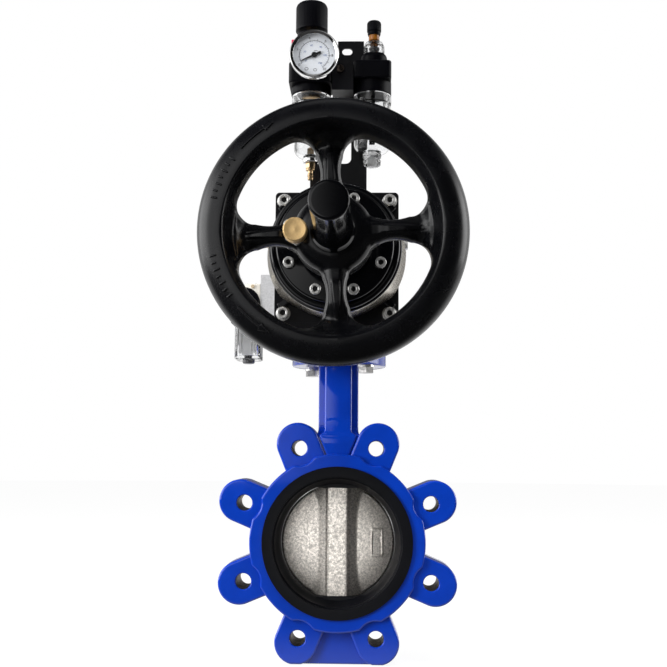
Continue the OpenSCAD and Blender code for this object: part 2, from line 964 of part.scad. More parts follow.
module spoke_opening() {
    rim_centre_r = ledge_r - rim_fillet;
    hub_centre_r = hub_r + hub_fillet;
    b = asin((spoke_w / 2 + rim_fillet) / rim_centre_r);
    h = asin((spoke_w / 2 + hub_fillet) / hub_centre_r);
    polygon(concat(
        arc(polar(hub_centre_r, h), hub_fillet, 180 + h, 270, 4),
        arc(polar(rim_centre_r, b), rim_fillet, -90, b, 7),
        arc([0, 0], ledge_r, b, 90 - b, 6),
        arc(polar(rim_centre_r, 90 - b), rim_fillet, 90 - b, 180, 7),
        arc(polar(hub_centre_r, 90 - h), hub_fillet, 180, 270 - h, 4),
        arc([0, 0], hub_r, 90 - h, h, 6)
    ));
}

module handwheel() {
    crown = 12;
    belly = 8;
    rim_c = rim_r - rim_w / 2;
    color("#15161a")
    actuator_axis()
    rotate([0, 0, wheel_phase])
    difference() {
        union() {
            // hub with a domed front
            rotate_extrude()
            polygon(concat(
                [[0, hub_back], [hub_r, hub_back]],
                [for (a = [0 : 15 : 90])
                    [hub_r - 12 * (1 - cos(a)), hub_edge + (hub_face - hub_edge) * sin(a)]],
                [[0, hub_face]]
            ));
            // rim: a rounded bead, fuller towards the front
            rotate_extrude()
            polygon(concat(
                [for (a = [0 : 15 : 180])
                    [rim_c + rim_w / 2 * cos(a), rim_mid + crown * sin(a)]],
                [for (a = [195 : 15 : 345])
                    [rim_c + rim_w / 2 * cos(a), rim_mid + belly * sin(a)]]
            ));
            // spokes and the ledge inside the rim, left by four openings in a plate
            translate([0, 0, web_back])
            linear_extrude(web_t)
            difference() {
                circle(rim_r - rim_w / 2);
                for (q = [0 : 3]) rotate(q * 90) spoke_opening();
            }
        }
        rod(sleeve_r, hub_back - 1, hub_face + 1);
        // seat for the lock plunger's nut
        translate([-plunger_offset, 0, 0]) {
            rod(plunger_body_r + run_gap, hub_back - 1, plunger_nut_back + 1);
            rod(plunger_nut_r + free_gap, plunger_nut_back, hub_face + 1);
        }
    }
}

module spindle_cap() {
    base_r = spindle_cap_r + 3.6;
    foot = hub_face + 2.5;
    tip = hub_face + spindle_cap_len;
    hollow = spindle_r + 1.5;
    color("#101114")
    actuator_axis()
    rotate_extrude()
    polygon(concat(
        [[hollow, hub_face], [base_r, hub_face], [base_r, foot]],
        [[base_r - 1.4, foot + 1.2], [spindle_cap_r + 0.7, foot + 6]],
        [for (a = [0 : 15 : 90]) [spindle_cap_r - 2 * (1 - cos(a)), tip - 2 + 2 * sin(a)]],
        [[0, tip], [0, tip - 6], [hollow, tip - 6]]
    ));
}

module plunger_place() {
    actuator_axis() rotate([0, 0, wheel_phase]) translate([-plunger_offset, 0, 0]) children();
}

plunger_body_r = 5;
plunger_front = plunger_nut_back + plunger_nut_t;

module plunger_nut() {
    color("silver")
    plunger_place()
    difference() {
        union() {
            hex_prism(plunger_nut_r, plunger_nut_back, plunger_front);
            rod(plunger_body_r, hub_back + 1, plunger_nut_back + 1);
        }
        rod(plunger_pin_r + run_gap, hub_back, plunger_front + 1);
    }
}

module lock_plunger() {
    neck_front = plunger_front + 4;
    knob_front = neck_front + 10;
    color("#c09550")
    plunger_place() {
        rod(plunger_pin_r, clutch_back + 1, plunger_front + 1);
        rod(4.6, plunger_front + free_gap, neck_front + 1);
        rotate_extrude()
        polygon([
            [0, neck_front], [plunger_knob_r - 0.8, neck_front],
            [plunger_knob_r, neck_front + 0.8], [plunger_knob_r, knob_front - 0.8],
            [plunger_knob_r - 0.8, knob_front], [0, knob_front]
        ]);
    }
}

// ---------------------------------------------------------------- air unit

slot_x = 6.3;
slot_z = bracket_top - 10;
slot_r = 3.3;

module bracket_outline() {
    notch = 5;
    arm_top = regulator_z + 2;
    difference() {
        polygon([
            [bracket_left, act_top], [bracket_right, act_top], [bracket_right, arm_top],
            [upper_right, arm_top + 4], [upper_right, bracket_top - 3],
            [upper_right - 3, bracket_top], [upper_left + 3, bracket_top],
            [upper_left, bracket_top - 3], [upper_left, arm_top], [arm_left, arm_top - 6],
            [arm_left, bracket_shoulder + notch], [arm_left - notch, bracket_shoulder],
            [bracket_left + 3, bracket_shoulder], [bracket_left, bracket_shoulder - 3]
        ]);
        translate([arm_left - notch, bracket_shoulder + notch]) circle(notch);
        for (dx = [-1.5, 1.5]) translate([slot_x + dx, slot_z]) circle(slot_r);
        translate([slot_x, slot_z]) square([3, 2 * slot_r], center = true);
        for (z = joint_screw_z) translate([joint_x(), z]) circle(2.2);
    }
}

function joint_x() = (regulator_x + regulator_w / 2 + lubricator_x - lubricator_w / 2) / 2;
joint_screw_z = [regulator_z + 12, regulator_z + 24];

module support_bracket() {
    color("#202124")
    difference() {
        union() {
            translate([0, -air_back + sheet_t, 0])
                forward()
                linear_extrude(sheet_t)
                bracket_outline();
            block(
                [bracket_left, -air_y - 8, act_top],
                [bracket_right, -air_back + sheet_t, act_top + sheet_t]
            );
        }
        for (side = [-1, 1])
            translate([side * accessory_x / 2, -accessory_y / 2, 0])
            rod(2.8, act_top - 1, act_top + sheet_t + 1);
    }
}

module bracket_screws() {
    color("silver") {
        for (side = [-1, 1])
            translate([side * accessory_x / 2, -accessory_y / 2, act_top + sheet_t])
            socket_screw(5, sheet_t + 8, 5);
        // two screws from behind hold the joining block to the sheet
        for (z = joint_screw_z)
            translate([joint_x(), -air_back + sheet_t, z])
            rotate([-90, 0, 0])
            socket_screw(4, sheet_t + 10, 4);
        // clamping screw in the face of the joining block
        translate([joint_x() - 2, -air_front + 2, regulator_z + 25])
            forward()
            socket_screw(4, 8, 2.5);
    }
}

module joining_block() {
    left = regulator_x + regulator_w / 2;
    right = lubricator_x - lubricator_w / 2;
    color("#202124")
    difference() {
        block([left, -air_front + 2, regulator_z + 6], [right, -air_back, regulator_top - 2]);
        air_column(lubricator_x) rod(lubricator_collar_r() + run_gap, regulator_z, lubricator_z + 1);
        for (z = joint_screw_z)
            translate([joint_x(), -air_back, z]) forward() rod(2, -1, 10);
        translate([joint_x() - 2, -air_front + 2, regulator_z + 25]) forward() rod(2, -8, 1);
        translate([0, -air_y, air_port_z]) rotate([0, 90, 0]) rod(4, left - 1, right + 1);
    }
}

air_port_z = regulator_z + 17;

module air_column(x) {
    translate([x, -air_y, 0]) children();
}

module regulator_body() {
    collar_r = filter_bowl_r + 1.2;
    color("#1b1c1f")
    difference() {
        air_column(regulator_x) {
            translate([0, 0, regulator_z])
                linear_extrude(regulator_h)
                round_rect(regulator_w, air_depth, 5);
            rod(collar_r, regulator_z - 5, regulator_z + 1);
            rod(bonnet_r, regulator_top - 1, bonnet_top);
        }
        air_column(regulator_x) {
            rod(5 + run_gap, regulator_top + 8, bonnet_top + 1);
            rod(filter_bowl_r, regulator_z - 6, regulator_z + 4);
            rotate([0, -90, 0])
                translate([air_port_z, 0, 0])
                rod(port_r, regulator_w / 2 - 12, regulator_w);
            rotate([0, 90, 0])
                translate([-air_port_z, 0, 0])
                rod(4, regulator_w / 2 - 10, regulator_w);
        }
        translate([gauge_x, 0, gauge_z]) forward() rod(4.6, air_front - 8, air_front + 1);
    }
    // porous filter element inside the bowl
    color("white") air_column(regulator_x) rod(8, regulator_z - 30, regulator_z + 4);
}

module regulator_knob() {
    low = bonnet_top + free_gap;
    top = low + knob_h;
    round = 6;
    color("#1b1c1f")
    air_column(regulator_x)
    difference() {
        rotate_extrude()
        polygon(concat(
            [[0, low], [knob_r - 0.8, low], [knob_r, low + 5]],
            [for (a = [0 : 15 : 90])
                [knob_r - 0.4 - round * (1 - cos(a)), top - round + round * sin(a)]],
            [[0, top]]
        ));
        rod(5 + run_gap, low - 1, top - 8);
    }
}

module adjusting_screw() {
    color("goldenrod")
    air_column(regulator_x)
    rod(5, regulator_top + 10, bonnet_top + knob_h - 9);
}

module gauge_place() {
    translate([gauge_x, 0, gauge_z]) forward() children();
}

module gauge_case() {
    color("silver")
    gauge_place()
    rotate_extrude()
    polygon([
        [0, air_front - 8], [4.6, air_front - 8], [4.6, air_front], [7, air_front],
        [7, gauge_back], [gauge_case_r - 1.5, gauge_back], [gauge_case_r, gauge_back + 1.5],
        [gauge_case_r, gauge_seat - 2], [gauge_r, gauge_seat - 1], [gauge_r, gauge_face - 1],
        [gauge_r - 1, gauge_face], [gauge_window_r, gauge_face],
        [gauge_window_r, gauge_face - gauge_lip], [gauge_seat_r, gauge_face - gauge_lip],
        [gauge_seat_r, gauge_seat], [gauge_hollow_r, gauge_seat],
        [gauge_hollow_r, gauge_back + 2], [0, gauge_back + 2]
    ]);
}

gauge_lip = 1.5;
dial_t = 0.6;
glass_t = 1.1;

module gauge_dial() {
    color("white")
    gauge_place() {
        ring(1.2, gauge_seat_r, gauge_seat, gauge_seat + dial_t);
        // movement behind the dial, standing on the back of the case
        ring(1.2, 8, gauge_back + 2, gauge_seat);
    }
}

module gauge_needle() {
    low = gauge_seat + dial_t + free_gap;
    reach = 0.66 * gauge_seat_r;
    color("black")
    gauge_place()
    rotate([0, 0, 204]) {
        rod(1.2 - run_gap, gauge_back + 3, low + 1);
        rod(2.4, low, low + 1.2);
        translate([0, 0, low])
            linear_extrude(0.8)
            polygon([
                [-reach * 0.5, -1], [-reach * 0.5, 1], [0, 0.9], [reach, 0.15],
                [reach, -0.15], [0, -0.9]
            ]);
    }
}

module gauge_glass() {
    color("white", 0.3)
    gauge_place()
    rod(gauge_seat_r, gauge_face - gauge_lip - glass_t, gauge_face - gauge_lip);
}

// A clear bowl: straight wall, round bottom and a hole of the given radius in it.
module bowl(r, height, hole_r) {
    bottom = 9;
    inner = r - bowl_wall;
    rotate_extrude()
    polygon(concat(
        [[inner, 0], [r, 0]],
        [for (a = [0 : 15 : 75])
            [r - bottom * (1 - cos(a)), -height + bottom - bottom * sin(a)]],
        [[hole_r, -height], [hole_r, -height + bowl_wall]],
        [for (a = [75 : -15 : 0])
            [inner - (bottom - bowl_wall) * (1 - cos(a)),
             -height + bottom - (bottom - bowl_wall) * sin(a)]]
    ));
}

module filter_bowl() {
    color("white", 0.35)
    air_column(regulator_x)
    translate([0, 0, regulator_z])
    bowl(filter_bowl_r, filter_bowl_h, drain_r);
}

module drain_valve() {
    low = regulator_z - filter_bowl_h;
    color("#c09550")
    air_column(regulator_x) {
        rod(drain_r - run_gap, low - 1, low + bowl_wall + 1);
        rod(6.5, low + bowl_wall + free_gap, low + 7);
        rod(6, low - 2.5, low - free_gap);
        hex_prism(6.2, low - 9.5, low - 2);
        rod(3.6, low - 11, low - 9);
        rod(2.6, low - 20, low - 10);
    }
}

function lubricator_collar_r() = lubricator_bowl_r + 1;

module lubricator_body() {
    collar_r = lubricator_collar_r();
    color("#1b1c1f")
    difference() {
        air_column(lubricator_x) {
            translate([0, 0, lubricator_z])
                linear_extrude(lubricator_h)
                round_rect(lubricator_w, air_depth, 4);
            rod(collar_r, regulator_z + 1, lubricator_z + 1);
            translate([sight_offset, 0, 0]) rod(sight_r + 1.8, lubricator_top - 1, sight_z);
        }
        air_column(lubricator_x) {
            rod(lubricator_bowl_r, regulator_z, lubricator_z - 3);
            rotate([0, 90, 0])
                translate([-air_port_z, 0, 0])
                rod(port_r, lubricator_w / 2 - 12, lubricator_w);
            rotate([0, -90, 0])
                translate([air_port_z, 0, 0])
                rod(4, lubricator_w / 2 - 10, lubricator_w);
            translate([sight_offset, 0, 0]) rod(sight_r - 2, sight_z - 4, sight_z + 1);
        }
    }
    // pick-up tube that reaches down into the oil
    color("white")
    air_column(lubricator_x)
    rod(2.5, lubricator_z - lubricator_bowl_h + 8, lubricator_z - 2);
}

module sight_dome() {
    wall = 1.8;
    color("white", 0.35)
    air_column(sight_x)
    difference() {
        rotate_extrude()
        polygon([
            [0, sight_z], [sight_r, sight_z], [sight_r, sight_z + sight_h - 2],
            [sight_r - 2, sight_z + sight_h], [0, sight_z + sight_h]
        ]);
        rod(sight_r - wall, sight_z - 1, sight_z + sight_h - wall);
        rod(2 + run_gap, sight_z, sight_z + sight_h + 1);
    }
}

module lubricator_stem() {
    low = sight_z + sight_h + free_gap;
    color("#b8863a")
    air_column(sight_x) {
        rod(2, sight_z + 2, low + 1);
        rod(5, low, low + needle_collar_h);
    }
}

module lubricator_knob() {
    low = sight_z + sight_h + free_gap + needle_collar_h;
    round = 2;
    color("#1b1c1f")
    air_column(sight_x)
    rotate_extrude()
    polygon(concat(
        [[0, low], [lub_knob_r - 1, low], [lub_knob_r, low + 4]],
        [for (a = [0 : 15 : 90])
            [lub_knob_r - round * (1 - cos(a)), low + lub_knob_h - round + round * sin(a)]],
        [[0, low + lub_knob_h]]
    ));
}

module lubricator_bowl() {
    low = lubricator_z - 3 - lubricator_bowl_h;
    color("white", 0.35)
    air_column(lubricator_x) {
        translate([0, 0, lubricator_z - 3]) bowl(lubricator_bowl_r, lubricator_bowl_h, 5);
        // drain stub
        rod(5, low - 4, low + bowl_wall + 2);
        rod(7.7, low - 10, low - 3);
    }
}

// ---------------------------------------------------------------- solenoid valve

module solenoid_body() {
    half = solenoid_len / 2;
    top = solenoid_z + solenoid_h;
    spool_z = solenoid_z + 13;
    color("gainsboro")
    difference() {
        union() {
            block([-solenoid_x, -half, solenoid_z], [-side_x, half, top]);
            block([-side_x - adapter_t, -30, top - 1], [-side_x, 30, adapter_top]);
            // pilot head that carries the coil
            block(
                [-solenoid_x - pilot_w, -half, coil_z - 4],
                [-solenoid_x + 1, -half + 26, coil_z + 18]
            );
        }
        translate([spool_x(), 0, spool_z])
            forward()
            cylinder(h = spool_len + 12, r = spool_r + run_gap, center = true);
        translate([-coil_x, 0, coil_z])
            forward()
            rod(coil_r + 0.1, coil_front - coil_len - 0.1, coil_front + 1);
        translate([-solenoid_x - pilot_w / 2, 0, coil_z + 15.5])
            forward()
            rod(1.5 + run_gap, half - 4, half + 1);
        // threaded air ports in the outer face
        for (y = [12, 30])
            translate([0, y, solenoid_z + solenoid_h / 2 + 8])
            rotate([0, -90, 0])
            rod(port_r, solenoid_x - 7, solenoid_x + 1);
    }
}

function spool_x() = -side_x - solenoid_t / 2;

module spool() {
    color("silver")
    translate([spool_x(), 0, solenoid_z + 13])
    forward()
    difference() {
        cylinder(h = spool_len, r = spool_r, center = true);
        for (z = [-18, 0, 18])
            ring(spool_r - 1.5, spool_r + 1, z - 3, z + 3);
    }
}

module solenoid_coil() {
    color("#1b1c1f") {
        translate([-coil_x, 0, coil_z]) forward() rod(coil_r, coil_front - coil_len, coil_front);
        block(
            [-coil_x - coil_r + 2, -coil_front, plug_top],
            [-coil_x + coil_r - 4, -coil_front + coil_len, coil_z]
        );
    }
}

module plug_connector() {
    low = plug_top - plug_h;
    y_mid = -coil_front + coil_len / 2;
    color("lightgray", 0.6)
    translate([-plug_x, y_mid, 0])
    difference() {
        union() {
            translate([0, 0, low]) linear_extrude(plug_h) round_rect(plug_w, 28, 2.5);
            rod(5.5, low - 3.5, low + 1);
        }
        rod(3.5, low - 4, low + 8);
    }
}

module override_button() {
    front = solenoid_len / 2;
    color("goldenrod")
    translate([-solenoid_x - pilot_w / 2, 0, coil_z + 15.5])
    forward()
    rod(1.5, front - 2.2, front + 1.6);
}

module exhaust_silencers() {
    reach = side_x + adapter_t;
    color("darkgoldenrod")
    for (y = [-24, 24])
        translate([0, y, adapter_top - silencer_r])
        rotate([0, -90, 0]) {
            rod(silencer_r, reach, reach + 7);
            rod(silencer_r - 1.5, reach + 7, reach + 9);
        }
}

valve_body();
seat_liner();
valve_disc();
upper_stem();
lower_stem();
stem_bushes();
stem_seal();
bottom_plug();
mounting_spacer();
mounting_bolts();
mounting_washers();
actuator_body();
front_end_cap();
rear_end_cap();
cap_screws();
cap_washers();
cap_seals();
front_piston();
rear_piston();
front_piston_rings();
rear_piston_rings();
pinion();
pinion_bushes();
snap_ring();
stop_screws();
position_indicator();
indicator_screw();
override_housing();
housing_cover();
cover_screws();
drive_nut();
thrust_bearing();
spindle();
handwheel();
spindle_cap();
lock_plunger();
plunger_nut();
support_bracket();
bracket_screws();
joining_block();
regulator_body();
regulator_knob();
adjusting_screw();
gauge_case();
gauge_dial();
gauge_needle();
gauge_glass();
filter_bowl();
drain_valve();
lubricator_body();
sight_dome();
lubricator_stem();
lubricator_knob();
lubricator_bowl();
solenoid_body();
spool();
solenoid_coil();
plug_connector();
override_button();
exhaust_silencers();
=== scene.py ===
"""Lug butterfly valve with an air actuator, a handwheel override and an air service unit."""

import json
import math

import bmesh
import bpy
import numpy as np
from mathutils import Matrix, Vector

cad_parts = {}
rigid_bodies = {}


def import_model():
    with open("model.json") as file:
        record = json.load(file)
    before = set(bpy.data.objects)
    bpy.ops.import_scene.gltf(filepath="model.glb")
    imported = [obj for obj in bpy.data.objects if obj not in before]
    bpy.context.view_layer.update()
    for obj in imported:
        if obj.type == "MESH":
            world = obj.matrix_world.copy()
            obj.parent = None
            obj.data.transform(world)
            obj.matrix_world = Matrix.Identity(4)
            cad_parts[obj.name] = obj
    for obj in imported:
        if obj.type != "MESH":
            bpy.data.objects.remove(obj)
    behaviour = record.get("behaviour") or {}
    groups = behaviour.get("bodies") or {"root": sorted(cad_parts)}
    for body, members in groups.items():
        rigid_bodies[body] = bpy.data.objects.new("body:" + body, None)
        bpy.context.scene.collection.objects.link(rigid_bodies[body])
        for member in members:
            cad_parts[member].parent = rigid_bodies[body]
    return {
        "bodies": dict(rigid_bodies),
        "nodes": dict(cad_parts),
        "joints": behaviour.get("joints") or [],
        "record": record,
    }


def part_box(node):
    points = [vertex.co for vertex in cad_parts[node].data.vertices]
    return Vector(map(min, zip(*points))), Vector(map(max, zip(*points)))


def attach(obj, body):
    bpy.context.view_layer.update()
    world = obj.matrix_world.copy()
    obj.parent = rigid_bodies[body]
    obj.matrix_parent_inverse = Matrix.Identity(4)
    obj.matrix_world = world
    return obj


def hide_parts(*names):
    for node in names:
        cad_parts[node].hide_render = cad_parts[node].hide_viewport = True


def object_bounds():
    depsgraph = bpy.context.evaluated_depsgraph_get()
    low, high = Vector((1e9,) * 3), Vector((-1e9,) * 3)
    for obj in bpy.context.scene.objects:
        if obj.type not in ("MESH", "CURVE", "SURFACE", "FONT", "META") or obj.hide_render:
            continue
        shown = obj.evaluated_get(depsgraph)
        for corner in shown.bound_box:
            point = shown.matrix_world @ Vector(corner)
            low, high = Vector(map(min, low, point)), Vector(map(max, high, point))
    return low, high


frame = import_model()
nodes = frame["nodes"]
cad_box = [list(corner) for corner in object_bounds()]
body_of = {node: body for body, members in frame["record"]["behaviour"]["bodies"].items()
           for node in members}

MM = 0.001
TURN = 2 * math.pi


# ---------------------------------------------------------------- camera and light

CAMERA_PLACE = (0.02345, -0.9765, 0.07916)
CAMERA_PITCH = 0.112143
CAMERA_YAW = -0.0294679
CAMERA_ROLL = -0.00728935
CAMERA_SENSOR = 36.0
CAMERA_FOCAL = 57.211


def make_camera():
    """A camera that looks along +Y, turned by its yaw, then its pitch, then its roll."""
    data = bpy.data.cameras.new("camera")
    data.sensor_width = CAMERA_SENSOR
    data.lens = CAMERA_FOCAL
    data.clip_start = 0.05
    right = Vector((math.cos(CAMERA_YAW), -math.sin(CAMERA_YAW), 0))
    ahead = Vector((math.sin(CAMERA_YAW), math.cos(CAMERA_YAW), 0))
    up = Vector((0, 0, 1))
    look = ahead * math.cos(CAMERA_PITCH) + up * math.sin(CAMERA_PITCH)
    top = up * math.cos(CAMERA_PITCH) - ahead * math.sin(CAMERA_PITCH)
    side = right * math.cos(CAMERA_ROLL) - top * math.sin(CAMERA_ROLL)
    top = right * math.sin(CAMERA_ROLL) + top * math.cos(CAMERA_ROLL)
    camera = bpy.data.objects.new("camera", data)
    camera.matrix_world = Matrix((
        (side.x, top.x, -look.x, CAMERA_PLACE[0]), (side.y, top.y, -look.y, CAMERA_PLACE[1]),
        (side.z, top.z, -look.z, CAMERA_PLACE[2]), (0, 0, 0, 1),
    ))
    bpy.context.scene.collection.objects.link(camera)
    bpy.context.scene.camera = camera


def add_lamp(name, kind, place, target, power, **settings):
    """A lamp of a kind at a place, turned towards a target."""
    data = bpy.data.lights.new(name, kind)
    data.energy = power
    for label, value in settings.items():
        setattr(data, label, value)
    lamp = bpy.data.objects.new(name, data)
    lamp.location = place
    lamp.rotation_euler = (Vector(target) - Vector(place)).to_track_quat("-Z", "Y").to_euler()
    bpy.context.scene.collection.objects.link(lamp)
    return lamp


def area_lamp(name, place, target, width, height, power):
    """A soft lamp that gives light only; the reflections come from the studio around."""
    lamp = add_lamp(name, "AREA", place, target, power, shape="RECTANGLE", size=width,
                    size_y=height)
    lamp.visible_glossy = False
    lamp.visible_transmission = False


def make_world():
    """White for the camera. Reflections and refractions see a studio that is white behind, has
    a wide pale screen on the left, bright screens further round on both sides and a faint light
    straight above, and is dark elsewhere. The light that it gives is dimmer and even."""
    world = bpy.data.worlds.new("studio")
    bpy.context.scene.world = world
    world.use_nodes = True
    world.cycles.sampling_method = "NONE"
    tree = world.node_tree
    tree.nodes.clear()
    x, y, z = position(tree, "Generated")
    leftward = math_node(tree, "MULTIPLY", x, -1.0)
    ahead = math_node(tree, "MULTIPLY", y, -1.0)
    # angle round the object: 0 in front, a quarter turn on the left, minus that on the right
    angle = math_node(tree, "ARCTAN2", leftward, ahead)
    either = math_node(tree, "ABSOLUTE", angle)
    wide = spread(tree, angle, 0.0, 0.20, 0.0, 1.1)
    screen = spread(tree, angle, 0.72, 1.15, 0.0, 2.6)
    strip_right = spread(tree, math_node(tree, "MULTIPLY", angle, -1.0), 1.2, 1.4, 0.0, 4.5)
    sides = math_node(tree, "ADD", math_node(tree, "ADD", wide, screen), strip_right)
    for value, low, high, to_low, to_high in (
            (either, 1.8, 2.2, 1.0, 0.0), (z, 0.30, 0.70, 1.0, 0.0), (z, -0.85, -0.45, 0.0, 1.0)):
        sides = math_node(tree, "MULTIPLY", sides,
                          spread(tree, value, low, high, to_low, to_high))
    behind = spread(tree, either, 1.9, 2.2)
    for value, low, high, to_high in ((either, 2.5, 2.9, 0.18), (z, 0.4, 0.8, 0.0)):
        behind = math_node(tree, "MULTIPLY", behind, spread(tree, value, low, high, 1.0, to_high))
    overhead = spread(tree, z, 0.93, 0.99, 0.0, 0.35)
    behind = math_node(tree, "MAXIMUM", behind, overhead)
    studio = math_node(tree, "MAXIMUM", math_node(tree, "ADD", sides, 0.012), behind)
    through = spread(tree, either, 2.45, 3.0, 0.08, 1.0)
    ray = tree.nodes.new("ShaderNodeLightPath").outputs
    mirrored = add_node(tree, "Mix", {0: ray["Is Glossy Ray"], 2: 0.32, 3: studio})
    seen = add_node(tree, "Mix", {0: ray["Is Transmission Ray"], 2: mirrored, 3: through})
    strength = math_node(tree, "MAXIMUM", seen, ray["Is Camera Ray"])
    glow = add_node(tree, "Background", {"Color": (1, 1, 1, 1), "Strength": strength})
    add_node(tree, "OutputWorld", {"Surface": glow})


def make_floor():
    """A wide pale disc under the foot: most of its white is its own, so that shadows stay faint."""
    rim = circle(6.0, 96)
    z = cad_box[0][2] - 0.0006
    mesh = bpy.data.meshes.new("floor")
    mesh.from_pydata(flat_rows([(rim, z)]).tolist(), [], [list(range(len(rim)))])
    floor = bpy.data.objects.new("floor", mesh)
    bpy.context.scene.collection.objects.link(floor)
    material = bpy.data.materials.new("pale_floor")
    material.use_nodes = True
    tree = material.node_tree
    tree.nodes.clear()
    ray = tree.nodes.new("ShaderNodeLightPath").outputs
    glow = add_node(tree, "Emission", {"Strength": 0.93})
    matt = add_node(tree, "BsdfDiffuse", {"Color": (0.14, 0.14, 0.14, 1)})
    both = add_node(tree, "AddShader", {0: glow, 1: matt})
    shade = spread(tree, ray["Is Glossy Ray"], 0.0, 1.0, 0.22, 0.03)
    plain = add_node(tree, "BsdfDiffuse", {"Color": shade})
    seen = math_node(tree, "MAXIMUM", ray["Is Camera Ray"], ray["Is Transmission Ray"])
    behind = spread(tree, position(tree, "Object")[1], -0.25, 0.15)
    mirrored = math_node(tree, "MULTIPLY", behind, ray["Is Glossy Ray"])
    also = math_node(tree, "MAXIMUM", seen, mirrored)
    mix = add_node(tree, "MixShader", {0: also, 1: plain, 2: both})
    add_node(tree, "OutputMaterial", {"Surface": mix})
    mesh.materials.append(material)


bpy.context.scene.view_settings.view_transform = "Standard"


# ---------------------------------------------------------------- finishes


def new_group(name, inputs, outputs):
    """A shader node group with float inputs (name: default) and outputs (name: socket type)."""
    tree = bpy.data.node_groups.new(name, "ShaderNodeTree")
    for label, value in inputs.items():
        socket = tree.interface.new_socket(label, in_out="INPUT", socket_type="NodeSocketFloat")
        socket.default_value = value
    for label, kind in outputs.items():
        tree.interface.new_socket(label, in_out="OUTPUT", socket_type=kind)
    return tree, tree.nodes.new("NodeGroupInput"), tree.nodes.new("NodeGroupOutput")


def set_or_link(tree, value, socket):
    """A socket gets a constant, or a link from another socket."""
    if isinstance(value, bpy.types.NodeSocket):
        tree.links.new(value, socket)
    else:
        socket.default_value = value


def add_node(tree, kind, inputs):
    """A shader node with its inputs set or linked, as its first output."""
    node = tree.nodes.new("ShaderNode" + kind)
    for label, value in inputs.items():
        set_or_link(tree, value, node.inputs[label])
    return node.outputs[0] if node.outputs else None


def position(tree, kind):
    """The x, y and z sockets of a texture coordinate."""
    place = tree.nodes.new("ShaderNodeTexCoord")
    split = tree.nodes.new("ShaderNodeSeparateXYZ")
    tree.links.new(place.outputs[kind], split.inputs[0])
    return split.outputs[:3]


def math_node(tree, operation, *values):
    """A maths node on constants or sockets, as its output."""
    node = tree.nodes.new("ShaderNodeMath")
    node.operation = operation
    for socket, value in zip(node.inputs, values):
        set_or_link(tree, value, socket)
    return node.outputs[0]


def noise(tree, scale, detail, roughness=0.5):
    """Noise over the object's own coordinates."""
    place = tree.nodes.new("ShaderNodeTexCoord")
    return add_node(tree, "TexNoise", {"Detail": detail, "Roughness": roughness, "Scale": scale,
                                       "Vector": place.outputs["Object"]})


def spread(tree, value, low, high, to_low=0.0, to_high=1.0):
    """Value from low..high mapped smoothly to to_low..to_high."""
    node = tree.nodes.new("ShaderNodeMapRange")
    node.interpolation_type = "SMOOTHSTEP"
    for label, x in (("Value", value), ("From Min", low), ("From Max", high),
                     ("To Min", to_low), ("To Max", to_high)):
        set_or_link(tree, x, node.inputs[label])
    return node.outputs[0]


def make_coat_group():
    """Uneven sprayed coat: a slow swell plus a fine peel as Height, and a soft blotch as Mask."""
    tree, given, out = new_group(
        "sprayed_coat", {"Swell": 60.0, "Peel": 900.0, "Peel Share": 0.25},
        {"Height": "NodeSocketFloat", "Mask": "NodeSocketFloat"})
    swell = noise(tree, given.outputs["Swell"], 1.0)
    peel = noise(tree, given.outputs["Peel"], 2.0)
    part = math_node(tree, "MULTIPLY", peel, given.outputs["Peel Share"])
    tree.links.new(math_node(tree, "ADD", swell, part), out.inputs["Height"])
    blotch = noise(tree, 35.0, 3.0, 0.6)
    tree.links.new(spread(tree, blotch, 0.35, 0.68), out.inputs["Mask"])
    return tree


def make_grain_group():
    """Shot-blasted casting: rounded grains of two sizes as Height, and pits as Mask."""
    tree, given, out = new_group(
        "cast_grain", {"Scale": 1400.0},
        {"Height": "NodeSocketFloat", "Mask": "NodeSocketFloat"})
    fine = noise(tree, given.outputs["Scale"], 2.0, 0.7)
    half = math_node(tree, "MULTIPLY", given.outputs["Scale"], 0.4)
    coarse = noise(tree, half, 2.0, 0.6)
    both = math_node(tree, "ADD", fine, coarse)
    tree.links.new(both, out.inputs["Height"])
    tree.links.new(spread(tree, both, 0.75, 1.3), out.inputs["Mask"])
    return tree


COAT = make_coat_group()
GRAIN = make_grain_group()


def finish(name, colour, roughness, metallic=0.0, coat=0.0, coat_roughness=0.1, coat_ior=1.5,
           specular=0.5, transmission=0.0, alpha=1.0):
    """A Principled material with its constants on the sockets."""
    material = bpy.data.materials.new(name)
    material.use_nodes = True
    shader = material.node_tree.nodes["Principled BSDF"]
    values = {
        "Base Color": (*colour, 1), "Roughness": roughness, "Metallic": metallic,
        "Coat Weight": coat, "Coat Roughness": coat_roughness, "Coat IOR": coat_ior,
        "Specular IOR Level": specular, "Transmission Weight": transmission, "Alpha": alpha,
    }
    for label, value in values.items():
        shader.inputs[label].default_value = value
    return material, material.node_tree, shader


def add_skin(made, group, rough, depth, colours=None, relief=1.0, **values):
    """A skin group over a material: its Mask mixes the two colours and the two roughnesses, and
    its Height is the relief. Returns the material."""
    material, tree, shader = made
    skin = tree.nodes.new("ShaderNodeGroup")
    skin.node_tree = group
    for label, value in values.items():
        skin.inputs[label.replace("_", " ")].default_value = value
    mask = skin.outputs["Mask"]
    if colours:
        mix = tree.nodes.new("ShaderNodeMix")
        mix.data_type = "RGBA"
        tree.links.new(mask, mix.inputs[0])
        mix.inputs[6].default_value, mix.inputs[7].default_value = [(*c, 1) for c in colours]
        tree.links.new(mix.outputs[2], shader.inputs["Base Color"])
    tree.links.new(spread(tree, mask, 0.0, 1.0, *rough), shader.inputs["Roughness"])
    tree.links.new(add_node(tree, "Bump", {
        "Distance": depth, "Strength": relief, "Height": skin.outputs["Height"],
    }), shader.inputs["Normal"])
    return material


